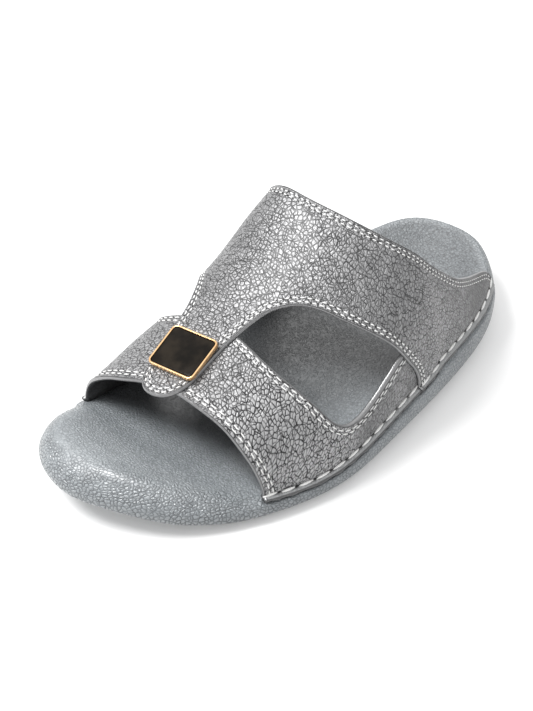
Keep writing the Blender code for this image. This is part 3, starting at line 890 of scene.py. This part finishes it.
def soleEdges():        # each side's share from the heel, outline, outward normal and rise of the rim
    length = shoeLast["length"]
    plan = solePlan()
    reach = shoeLast["tangentReach"]
    tangent = np.roll(plan, -reach, 0) - np.roll(plan, reach, 0)
    normal = np.column_stack([-tangent[:, 1], tangent[:, 0]])
    normal /= np.linalg.norm(normal, axis=1)[:, None]
    normal *= np.sign((normal * plan).sum())
    heel, toe = plan[:, 1].argmax(), plan[:, 1].argmin()
    sides = {}
    for sign, start, end in ((1, heel, toe), (-1, toe, heel)):
        index = np.arange(start, end + 1 if end > start else end + 1 + len(plan)) % len(plan)
        index = index[::sign]
        along = 0.5 - plan[index, 1] / length
        rise = followTable(shoeLast["side"], 3, along) * (sign < 0)
        sides[sign] = np.column_stack([along, plan[index], normal[index], rise])
    return sides


def seatPoint(table, along, seat):
    x, y, nx, ny, higher = (np.interp(along, table[:, 0], table[:, k]) for k in (1, 2, 3, 4, 5))
    inset, rise = seat
    size = math.hypot(nx, ny)
    tread, rim = (float(followTable(shoeLast["side"], column, along)) for column in (1, 2))
    return np.array([x - nx / size * inset, y - ny / size * inset,
                     tread + rise * (rim + higher - tread) + shoeLast["fitGap"]])


def lastSection(table, column, along, girths):        # one side of a section, from the ridge to the flange
    outer, seam = (seatPoint(table, along, shoeLast[name]) for name in ("seatOutside", "seatInside"))
    ridgeX, ridgeZ, roundness = (float(followTable(shoeLast["sections"], k, along)) for k in (1, 2, column))
    ridgeY = shoeLast["length"] * (0.5 - along)
    turn = np.linspace(0, np.pi / 2, shoeLast["turnCount"])
    across, up = np.sin(turn) ** (2 / roundness), np.cos(turn) ** (2 / roundness)
    line = np.column_stack([ridgeX + (seam[0] - ridgeX) * across, ridgeY + (seam[1] - ridgeY) * across**2,
                            seam[2] + (ridgeZ - seam[2]) * up])
    run = np.concatenate([[0], np.cumsum(np.linalg.norm(np.diff(line, axis=0), axis=1))])
    wall = np.column_stack([np.interp(girths * run[-1], run, line[:, k]) for k in range(3)])
    out = (outer - seam) / np.linalg.norm(outer - seam)
    lip = seam + out * ((girths - 1) * shoeLast["halfGirth"])[:, None]
    return np.where((girths > 1)[:, None], lip, wall)


def lastSurface():        # grid of points and normals over girth and length, softened at the seams
    girths, alongs = np.linspace(*shoeLast["girths"]), np.linspace(*shoeLast["alongs"])
    sides = soleEdges()
    grid = np.zeros((len(alongs), len(girths), 3))
    for sign, column, half in ((1, 3, girths >= 0), (-1, 4, girths < 0)):
        for row, along in enumerate(alongs):
            grid[row, half] = lastSection(sides[sign], column, along, np.abs(girths[half]))
    step = (girths[1] - girths[0]) * shoeLast["halfGirth"]
    reach = int(3 * shoeLast["seamSoftness"] / step)
    kernel = bump(np.arange(-reach, reach + 1) * step, 0.0, 1.4 * shoeLast["seamSoftness"])
    padded = np.pad(grid, ((0, 0), (reach, reach), (0, 0)), mode="reflect", reflect_type="odd")
    soft = sum(weight * padded[:, k:k + len(girths)] for k, weight in enumerate(kernel / kernel.sum()))
    share = softStep(*shoeLast["seamBand"], np.abs(np.abs(girths) - 1))[None, :, None]
    grid = grid * (1 - share) + soft * share
    normal = np.cross(np.gradient(grid, axis=0), np.gradient(grid, axis=1))
    normal /= np.linalg.norm(normal, axis=2)[:, :, None]
    return grid, normal


def unrolled(grid):        # lengths on the surface, across from the ridge and along from the heel
    girths, alongs = np.linspace(*shoeLast["girths"]), np.linspace(*shoeLast["alongs"])
    across = np.cumsum(np.linalg.norm(np.diff(grid, axis=1, prepend=grid[:, :1]), axis=2), axis=1)
    across -= across[:, [np.abs(girths).argmin()]]
    along = np.cumsum(np.linalg.norm(np.diff(grid, axis=0, prepend=grid[:1]), axis=2), axis=0)
    along -= along[[np.abs(alongs - shoeLast["flatFrom"]).argmin()]]
    return np.dstack([across, along, np.zeros_like(across)])


lastGrid, lastNormal = lastSurface()
lastFlat = unrolled(lastGrid)
print("last ready")


def gridSpot(share, limits):        # cells of one side of the last's grids, and the places in them
    low, high, count = limits
    spot = np.clip((share - low) / (high - low) * (count - 1), 0, count - 1.001)
    cell = spot.astype(int)
    return cell, (spot - cell)[:, None]


def lookUp(flat, *grids):        # values of the last's grids at flat pattern points
    flat = np.asarray(flat, float)
    i, u = gridSpot(0.5 - flat[:, 1] / shoeLast["length"], shoeLast["alongs"])
    j, v = gridSpot(flat[:, 0] / shoeLast["halfGirth"], shoeLast["girths"])
    return [(1 - u) * ((1 - v) * grid[i, j] + v * grid[i, j + 1])
            + u * ((1 - v) * grid[i + 1, j] + v * grid[i + 1, j + 1]) for grid in grids]


def onLast(flat, lift):        # flat pattern points, bent over the last, at a height above it
    place, normal = lookUp(flat, lastGrid, lastNormal)
    normal = normal / np.linalg.norm(normal, axis=1)[:, None]
    return place + normal * np.broadcast_to(lift, len(flat))[:, None], normal


# Straps: flat patterns of share of the half girth (+1 outside seam, -1 inside seam), share from the heel
lipEdge = 1.0 + shoeLast["flange"] / shoeLast["halfGirth"]
frontPattern = {
    "front": ((-lipEdge, 0.819), (-0.95, 0.820), (-0.85, 0.822), (-0.70, 0.827), (-0.54, 0.827),
              (-0.38, 0.824), (-0.24, 0.817), (0.00, 0.807), (0.24, 0.805), (0.43, 0.802), (0.61, 0.800),
              (0.78, 0.793), (0.95, 0.784), (lipEdge, 0.782)),
    "cutoutOutside": ((0.00, 0.676), (0.10, 0.677), (0.28, 0.682), (0.42, 0.679), (0.61, 0.661),
                      (0.74, 0.641), (0.80, 0.618), (0.816, 0.590), (0.80, 0.538), (0.77, 0.485),
                      (0.76, 0.440), (0.76, 0.400)),
    "cutoutInside": ((-0.20, 0.678), (-0.30, 0.684), (-0.45, 0.684), (-0.62, 0.670), (-0.74, 0.652),
                     (-0.80, 0.630), (-0.816, 0.602), (-0.80, 0.545), (-0.77, 0.485), (-0.76, 0.440),
                     (-0.76, 0.400)),
}
instepPattern = {
    "frontOutside": ((lipEdge, 0.422), (0.93, 0.434), (0.80, 0.466), (0.69, 0.493), (0.56, 0.526),
                     (0.445, 0.551), (0.34, 0.569), (0.265, 0.584), (0.21, 0.600), (0.16, 0.620),
                     (0.13, 0.641), (0.105, 0.667), (0.085, 0.700), (0.075, 0.740), (0.070, 0.777)),
    "tab": ((0.070, 0.777), (0.050, 0.802), (-0.005, 0.822), (-0.09, 0.830), (-0.175, 0.827), (-0.24, 0.812),
            (-0.275, 0.785)),
    "frontInside": ((-0.275, 0.785), (-0.28, 0.740), (-0.285, 0.700), (-0.30, 0.668), (-0.33, 0.641),
                    (-0.37, 0.618), (-0.44, 0.594), (-0.54, 0.568), (-0.645, 0.540), (-0.74, 0.509),
                    (-0.83, 0.475), (-0.94, 0.440), (-lipEdge, 0.426)),
    "rear": ((-lipEdge, 0.158), (-0.97, 0.161), (-0.91, 0.176), (-0.85, 0.208), (-0.785, 0.252),
             (-0.71, 0.297), (-0.63, 0.332), (-0.55, 0.363), (-0.42, 0.410), (-0.25, 0.446), (0.00, 0.466),
             (0.21, 0.454), (0.40, 0.417), (0.56, 0.345), (0.62, 0.309), (0.69, 0.264), (0.73, 0.215),
             (0.765, 0.172), (0.81, 0.138), (0.865, 0.117), (0.93, 0.107), (lipEdge, 0.104)),
}
strapShape = {
    "wall": 0.0020,
    "bite": 0.0006,              # how far the instep strap is sunk into the front strap
    "instepDown": (0.34, 0.39),  # shares from the heel between which it comes down to the last
    "edgeStep": 0.0012,
    "cell": 0.0021,
    "rowPitch": 0.866,           # rows of cells, in cells
    # insets of the rings of points along the edge
    "rings": (0.00012, 0.00042, 0.0009, 0.0014, 0.0019, 0.0024, 0.0029, 0.0034, 0.0039, 0.0044, 0.0049,
              0.0054, 0.0061),
    "ringKeep": 0.93,            # share of its inset that a ring's point keeps from every edge
    "ringGap": 0.4,              # from the last ring to the rows of cells, in cells
    "probe": 0.001,              # step that finds the inside of a pattern
    "closeGap": 1e-6,            # outer and inner face meet at the edge
    "rowDepth": 0.00022,         # troughs of the stitch rows
    "rowWidth": 0.00055,
    "roll": 0.00025,             # fullness of the turned edge
    "rollPlace": (0.0008, 0.0007),       # its distance from the edge, and its width
    "seamDepth": 0.0009,
    "seamWidth": 0.0012,
    "pucker": 0.00025,           # waves of the lip between the stitches
    "scallop": 0.00045,          # waves of the lip's outline
    "scallopFrom": 0.0025,       # from the seam
    "waveDrift": ((2.2, 70), (1.3, 173)),        # size and rate of what shifts the waves
    "lipRise": (0.0006, 0.0032),         # from the seam, where the lip starts to lift
    "lipGap": 0.00040,           # the lip stands off the sole at its edge
    "seatFrom": -0.0005,         # from the seam outwards the underside is sunk a little into the sole
    "seatReach": 0.004,
    "seatSink": 0.0004,
    "railEdge": 0.40,            # the rails' smooth edge is wider by the inverse of this
    "fineRail": (0.640, 0.570),  # shares from the heel between which the grain gets finer
    "fineHeel": (0.370, 0.170),
    "railShare": 0.75,           # of the full fineness, on the rails
    "frontPaintedLight": 0.50,          # painted light: the front strap is lighter low on the outside
    "frontLightFrom": (0.20, 0.50),      # shares of the half girth
}


def flatLine(points, step):
    return smoothLine([(girth * shoeLast["halfGirth"], shoeLast["length"] * (0.5 - along))
                       for girth, along in points], False, step)


def instepLift(flat):        # the instep strap lies on the front strap, and comes down to the last behind it
    along = 0.5 - np.asarray(flat)[:, 1] / shoeLast["length"]
    return (strapShape["wall"] - strapShape["bite"]) * softStep(*strapShape["instepDown"], along)


def frontLift(flat):
    return np.zeros(len(flat))


def strapEdges(pieces):        # closed outline from (points, finished) pieces in order round the strap
    line, finished = [], []
    for points, isFinished in pieces:
        part = flatLine(points, strapShape["edgeStep"])[:-1]
        lip = softStep(shoeLast["halfGirth"] + strapShape["scallopFrom"], lipEdge * shoeLast["halfGirth"],
                       np.abs(part[:, 0]))
        part[:, 0] -= np.sign(part[:, 0]) * strapShape["scallop"] * lip * (1 - lipWave(part[:, 1]))
        line.append(part)
        finished += [isFinished] * len(part)
    return np.vstack(line), np.array(finished)


def edgeSteps(line, lift, closed):        # pattern step that goes one metre square to the edge on the last
    if closed:
        tangent = np.roll(line, -1, 0) - np.roll(line, 1, 0)
    else:
        tangent = np.gradient(line, axis=0)
    tangent /= np.linalg.norm(tangent, axis=1)[:, None]
    side = np.column_stack([-tangent[:, 1], tangent[:, 0]])
    small = 0.0004
    along, across = ((onLast(line + way * small, lift)[0] - onLast(line - way * small, lift)[0]) / (2 * small)
                     for way in (tangent, side))
    share = (along * across).sum(1) / (along * along).sum(1)
    step = side - tangent * share[:, None]
    reach = np.linalg.norm(across - along * share[:, None], axis=1)
    return step / reach[:, None]


def gaps(tree, places):
    return np.array([tree.find(place)[2] for place in places])


def insideOf(line, points):        # which pattern points lie inside a closed outline
    inside = np.zeros(len(points), bool)
    for (x0, y0), (x1, y1) in zip(line, np.roll(line, -1, 0)):
        spans = (y0 > points[:, 1]) != (y1 > points[:, 1])
        if spans.any():
            cut = x0 + (points[:, 1] - y0) / (y1 - y0) * (x1 - x0)
            inside ^= spans & (points[:, 0] < cut)
    return inside


def inwardSteps(line, lift, outline, closed):        # edge steps that lead into the strap
    steps = edgeSteps(line, lift(line), closed)
    if insideOf(outline, line + steps * strapShape["probe"]).mean() < 0.5:
        steps = -steps
    return steps


def seamGap(flat):        # distance outside the seam, on the pattern
    return np.abs(flat[:, 0]) - shoeLast["halfGirth"]


def strapRelief(flat, edge, row):        # turned edge, troughs of the stitch rows, groove of the seam
    shape = strapShape
    height = shape["roll"] * bump(edge, *shape["rollPlace"])
    height -= shape["rowDepth"] * bump(row, 0.0, shape["rowWidth"])
    return height - shape["seamDepth"] * bump(seamGap(flat), 0.0, shape["seamWidth"])


def lipWave(y):        # the lip is held down at each stitch and lifts a little between them
    drift = sum(size * np.sin(y * rate) for size, rate in strapShape["waveDrift"])
    return 0.5 - 0.5 * np.cos(2 * np.pi * y / weltThread["pitch"] + drift)


def pressDown(places, chosen):        # takes the flange's underside down on the sole
    skin = bpy.data.objects["soleSkin"].data
    corners = [vert.co for vert in skin.vertices]
    wall = BVHTree.FromPolygons(corners, [face.vertices for face in skin.polygons])
    for number in np.flatnonzero(chosen):
        place = places[number]
        hit = wall.ray_cast(Vector(place) + Vector((0, 0, strapShape["seatReach"])), Vector((0, 0, -1)))[0]
        if hit is not None:
            place[2] = min(place[2], hit.z - strapShape["seatSink"])


def fillPattern(line, lift, tree):        # rings of points along the edge, rows of cells inside them
    shape = strapShape
    steps = inwardSteps(line, lift, line, True)
    spots = [line]
    for inset in shape["rings"]:
        ring = line + steps * inset
        spots.append(ring[gaps(tree, onLast(ring, lift(ring))[0]) > shape["ringKeep"] * inset])
    cell = shape["cell"]
    low, high = line.min(0), line.max(0)
    rows = np.arange(low[1], high[1], shape["rowPitch"] * cell)
    cells = np.array([(x + 0.5 * cell * (k % 2), y) for k, y in enumerate(rows)
                      for x in np.arange(low[0], high[0], cell)])
    cells = cells[insideOf(line, cells)]
    inside = shape["rings"][-1] + shape["ringGap"] * cell
    spots.append(cells[gaps(tree, onLast(cells, lift(cells))[0]) > inside])
    spots = [Vector(spot) for spot in np.vstack(spots)]
    places, _, faces, *_ = delaunay_2d_cdt(spots, [], [list(range(len(line)))], 1, 1e-8)
    return np.array([tuple(place) for place in places]), faces


def strapWalls(flat, lift, rim, edge, row):        # outer and inner face, which meet in a round edge
    shape = strapShape
    half = shape["wall"] / 2
    full = np.sqrt(np.clip(1 - (1 - np.clip(rim / half, 0, 1)) ** 2, 0, 1))
    seam = seamGap(flat)
    lip = softStep(*shape["lipRise"], seam)
    middle = lift(flat) + half + shape["pucker"] * lipWave(flat[:, 1]) * lip
    outer = onLast(flat, middle + half * full + strapRelief(flat, edge, row) * full)[0]
    inner = onLast(flat, middle - half * full + shape["lipGap"] * lip * full)[0]
    pressDown(inner, (seam > shape["seatFrom"]) & (rim > half / 2))
    return outer, inner


def strapGrain(flat, edge, isFront):        # fineness of the grain, which also carries painted shade and, below zero, painted light; distance from the edge for the band
    shape = strapShape
    along = 0.5 - flat[:, 1] / shoeLast["length"]
    if not isFront:
        return softStep(*shape["fineHeel"], along), edge
    rail = softStep(*shape["fineRail"], along)
    # painted light, low on the front strap's outside, goes into fine as a negative value
    light = softStep(*shape["frontLightFrom"], flat[:, 0] / shoeLast["halfGirth"])
    fine = shape["railShare"] * rail - shape["frontPaintedLight"] * light
    return fine, edge * (1 - (1 - shape["railEdge"]) * rail)


def buildStrap(name, line, finished, lift, rows, look, lining):
    edgePlace = onLast(line, lift(line))[0]
    tree = edgeTree(edgePlace)
    flat, faces = fillPattern(line, lift, tree)
    base = onLast(flat, lift(flat))[0]
    edge = gaps(edgeTree(edgePlace[finished]), base)
    row = gaps(edgeTree(np.vstack([onLast(points, lift(points))[0] for points in rows])), base)
    fine, band = strapGrain(flat, edge, lift is frontLift)
    walls = strapWalls(flat, lift, gaps(tree, base), edge, row)
    seam = seamGap(flat)
    skin = lookUp(flat, lastFlat)[0]
    bm = bmesh.new()
    edgeLayer = bm.verts.layers.float.new("edge")
    lipLayer = bm.verts.layers.float.new("lip")
    fineLayer = bm.verts.layers.float.new("fine")
    flatLayer = bm.verts.layers.float_vector.new("flat")
    used = sorted({k for face in faces for k in face})
    for side, wall in enumerate(walls):
        verts = {}
        for k in used:
            verts[k] = bm.verts.new(wall[k])
            verts[k][edgeLayer] = band[k] * millimetres
            verts[k][lipLayer] = seam[k] * millimetres
            verts[k][fineLayer] = fine[k]
            verts[k][flatLayer] = skin[k]
        for face in faces:
            made = bm.faces.new([verts[k] for k in (face if side == 0 else face[::-1])])
            made.material_index = side
    bmesh.ops.remove_doubles(bm, verts=bm.verts, dist=strapShape["closeGap"])
    bmesh.ops.recalc_face_normals(bm, faces=bm.faces)
    piece = meshObject(name, bm)
    piece.data.materials.append(look)
    piece.data.materials.append(lining)
    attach(piece, "root")
    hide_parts("upper")
    print(name, len(piece.data.polygons), "faces")


# Thread: fine double rows along the straps' edges, thick stitches in the seam
fineThread = {                   # insets of the two rows, pitch, length, width and height of a stitch
    "front": ((0.0032, 0.0050), 0.0043, (0.0034, 0.00070, 0.00065)),
    "cutout": ((0.0017, 0.0036), 0.0042, (0.0033, 0.00070, 0.00065)),
    "around": ((0.0021, 0.0039), 0.0033, (0.0022, 0.00075, 0.00065)),
    "rear": ((0.0022, 0.0040), 0.0031, (0.0020, 0.00070, 0.00060)),
    "rail": (0.0030, 0.0044),    # insets along the rails, behind the cut-outs' corners
    "railFrom": (0.665, 0.600),  # shares from the heel between which these take over
    "proud": 0.18,               # share of a stitch's height that its middle stands above the trough
    "hole": (0.00085, 0.00075, 0.00030),
    "holeLift": 0.00004,
    "seamEnd": 0.985,            # share of the half girth where the rows stop at the seam
    "badgeReach": 0.008,         # stitches under the badge, or this near to it, are left out
    "badgeGap": 0.0008,
}
weltThread = {
    "pitch": 0.0092,
    "size": (0.0078, 0.00150, 0.00150),
    "hole": (0.0019, 0.0015, 0.0008),
    "slant": 5.0,
    "shift": 0.0005,             # from the seam towards the ridge
    "runs": ((1, 0.7835, 0.108), (-1, 0.819, 0.162)),        # side, front and rear ends
    "step": (0.428, 0.418),      # where the seam passes from the front strap to the instep strap
    "lineStep": 0.001,
    "start": 0.45,               # middle of the first stitch from the front end, in stitch lengths
    "proud": 0.48,
    "holeShift": 0.0005,         # holes lie this much nearer to the ridge than the stitches
    "holeLift": 0.0002,
}
stitchBall = {
    "sides": 6,
    "taper": 1.25,               # above 1 the ends are pointed
    "turn": 4.0,                 # degrees, scatter of a sewn row
    "length": (0.92, 1.06),
}


def rowLine(points, kind, number, lift, outline):        # pattern line of one row of stitches
    line = flatLine(points, strapShape["edgeStep"])
    steps = inwardSteps(line, lift, outline, False)
    inset = np.full(len(line), fineThread[kind][0][number])
    if kind == "cutout":
        share = softStep(*fineThread["railFrom"], 0.5 - line[:, 1] / shoeLast["length"])
        inset = inset * (1 - share) + fineThread["rail"][number] * share
    return line + steps * inset[:, None]


def spaced(flat, lift, pitch, start):        # pattern points a pitch apart along a line on the last
    place = onLast(flat, lift(flat))[0]
    run = np.concatenate([[0], np.cumsum(np.linalg.norm(np.diff(place, axis=0), axis=1))])
    marks = np.arange(start, run[-1], pitch)
    return np.column_stack([np.interp(marks, run, flat[:, k]) for k in range(2)])


def stitchFrames(flat, lift, height):        # place and axes of a stitch at each point of a line
    place, normal = onLast(flat, lift(flat) + height)
    along = np.gradient(place, axis=0)
    along -= normal * (along * normal).sum(1)[:, None]
    along /= np.linalg.norm(along, axis=1)[:, None]
    return place, along, np.cross(normal, along), normal


def grainAxes(frames, keep, size, shift=0.0, slant=0.0):        # place and half axes of each grain that shows
    grains = []
    for place, along, across, normal, shown in zip(*frames, keep):
        turn = math.radians(slant + random.uniform(-stitchBall["turn"], stitchBall["turn"]))
        length = size[0] * random.uniform(*stitchBall["length"])
        forward = along * math.cos(turn) + across * math.sin(turn)
        if shown:
            axes = np.array([forward * length, np.cross(normal, forward) * size[1], normal * size[2]]) / 2
            grains.append((place + along * shift, axes))
    return grains


def sewnPiece(name, grains, look):        # one small ball, repeated as rice-shaped stitches or as round dark spots, painted shade at the needle holes
    bm = bmesh.new()
    bmesh.ops.create_uvsphere(bm, u_segments=stitchBall["sides"], v_segments=stitchBall["sides"], radius=1.0)
    ball = np.array([vert.co[:] for vert in bm.verts])[:, (2, 0, 1)]
    ball[:, 0] = np.sign(ball[:, 0]) * np.abs(ball[:, 0]) ** stitchBall["taper"]
    faces = [np.array([vert.index for vert in face.verts]) for face in bm.faces]
    bm.free()
    places = np.vstack([place + ball @ axes for place, axes in grains])
    mesh = bpy.data.meshes.new(name)
    mesh.from_pydata(places.tolist(), [], [(face + k * len(ball)).tolist() for k in range(len(grains))
                                           for face in faces])
    mesh.shade_smooth()
    mesh.materials.append(look)
    piece = bpy.data.objects.new(name, mesh)
    bpy.context.scene.collection.objects.link(piece)
    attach(piece, "root")
    print(name, len(mesh.polygons), "faces")


def sewStraps(rows, thread, hole):        # rows: (kind, pattern line, lift, cover)
    badge = BVHTree.FromBMesh(mergedCopy("badge_frame"))
    stitches, holes = [], []
    for kind, line, lift, cover in rows:
        _, pitch, size = fineThread[kind]
        flat = spaced(line, lift, pitch, pitch / 2)
        top = strapShape["wall"] - strapShape["rowDepth"]
        frames = stitchFrames(flat, lift, top + size[2] * fineThread["proud"])
        keep = np.abs(flat[:, 0]) < fineThread["seamEnd"] * shoeLast["halfGirth"]
        if cover is not None:
            keep &= ~insideOf(cover, flat)
        for number, (place, normal) in enumerate(zip(frames[0], frames[3])):
            under = badge.ray_cast(Vector(place), Vector(normal), fineThread["badgeReach"])[0] is not None
            near = badge.find_nearest(Vector(place))[3] < fineThread["badgeGap"]
            keep[number] &= not (under or near)
        stitches += grainAxes(frames, keep, size)
        deep = stitchFrames(flat, lift, top + fineThread["holeLift"])
        holes += grainAxes(deep, keep, fineThread["hole"], shift=pitch / 2)
    sewnPiece("strapStitches", stitches, thread)
    sewnPiece("needleHoles", holes, hole)


def seamLift(flat):
    along = 0.5 - flat[:, 1] / shoeLast["length"]
    return instepLift(flat) * softStep(*weltThread["step"], along)


def sewSeam(thread, hole):
    stitches, holes = [], []
    size = weltThread["size"]
    top = strapShape["wall"] - strapShape["seamDepth"]
    for side, front, rear in weltThread["runs"]:
        line = flatLine([(side, front), (side, rear)], weltThread["lineStep"])
        flat = spaced(line, seamLift, weltThread["pitch"], size[0] * weltThread["start"])
        flat = flat - [side * weltThread["shift"], 0]
        frames = stitchFrames(flat, seamLift, top + size[2] * weltThread["proud"])
        keep = np.ones(len(flat), bool)
        stitches += grainAxes(frames, keep, size, slant=side * weltThread["slant"])
        upper = flat - [side * weltThread["holeShift"], 0]
        deep = stitchFrames(upper, seamLift, top + weltThread["holeLift"])
        holes += grainAxes(deep, keep, weltThread["hole"], shift=weltThread["pitch"] / 2)
    sewnPiece("seamStitches", stitches, thread)
    sewnPiece("seamHoles", holes, hole)


def buildUpper():
    look, lining = upperLeather(), strapLining()
    pattern = frontPattern
    ends = {side: pattern[name][-1] for side, name in ((1, "cutoutOutside"), (-1, "cutoutInside"))}
    lips = {side: (side * lipEdge, end[1]) for side, end in ends.items()}
    frontLine, frontFinished = strapEdges((
        (pattern["front"], True),
        ((pattern["front"][-1], lips[1]), False),
        ((lips[1], ends[1]), False),
        (pattern["cutoutOutside"][::-1], True),
        ((pattern["cutoutOutside"][0], pattern["cutoutInside"][0]), False),
        (pattern["cutoutInside"], True),
        ((ends[-1], lips[-1]), False),
        ((lips[-1], pattern["front"][0]), False),
    ))
    pattern = instepPattern
    around = pattern["frontOutside"][:-1] + pattern["tab"][:-1] + pattern["frontInside"]
    instepLine, instepFinished = strapEdges((
        (pattern["frontOutside"], True),
        (pattern["tab"], True),
        (pattern["frontInside"], True),
        ((pattern["frontInside"][-1], pattern["rear"][0]), False),
        (pattern["rear"], True),
        ((pattern["rear"][-1], pattern["frontOutside"][0]), False),
    ))
    rows = []
    for number in (0, 1):
        for kind, points in (("front", frontPattern["front"]), ("cutout", frontPattern["cutoutOutside"]),
                             ("cutout", frontPattern["cutoutInside"])):
            rows.append((kind, rowLine(points, kind, number, frontLift, frontLine), frontLift, instepLine))
        for kind, points in (("around", around), ("rear", pattern["rear"])):
            rows.append((kind, rowLine(points, kind, number, instepLift, instepLine), instepLift, None))
    buildStrap("frontStrap", frontLine, frontFinished, frontLift,
               [line for _, line, lift, _ in rows if lift is frontLift], look, lining)
    buildStrap("instepStrap", instepLine, instepFinished, instepLift,
               [line for _, line, lift, _ in rows if lift is instepLift], look, lining)
    thread, hole = sewingThread(), needleHoleShade()
    sewStraps(rows, thread, hole)
    sewSeam(thread, hole)


# Badge: the tray and the plate with their edges rounded
badgeShape = {
    "rimBevel": 0.00035,
    "plateBevel": 0.00025,
    "bevelSteps": 3,
    "sharp": 30,                 # degrees, edges that turn more are rounded
    "flat": 1,                   # degrees, faces that turn less are made one
}


def buildBadge():
    shape = badgeShape
    flat, sharp = math.radians(shape["flat"]), math.radians(shape["sharp"])
    for node, name, width, look in (("badge_frame", "badgeRim", shape["rimBevel"], polishedGold()),
                                    ("badge_plate", "badgePlate", shape["plateBevel"], blackEnamel())):
        bm = mergedCopy(node)
        bmesh.ops.dissolve_limit(bm, angle_limit=flat, verts=bm.verts, edges=bm.edges)
        edges = [edge for edge in bm.edges if edge.calc_face_angle(0) > sharp]
        bmesh.ops.bevel(bm, geom=edges, offset=width, segments=shape["bevelSteps"], profile=0.5,
                        affect="EDGES", material=-1)
        piece = meshObject(name, bm)
        piece.data.set_sharp_from_angle(angle=sharp)
        piece.data.materials.clear()
        piece.data.materials.append(look)
        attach(piece, "root")
        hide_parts(node)


buildStudio()
buildSole()
limitGlossLamp()
print("sole done")
buildUpper()
print("upper done")
buildBadge()
print("badge done")
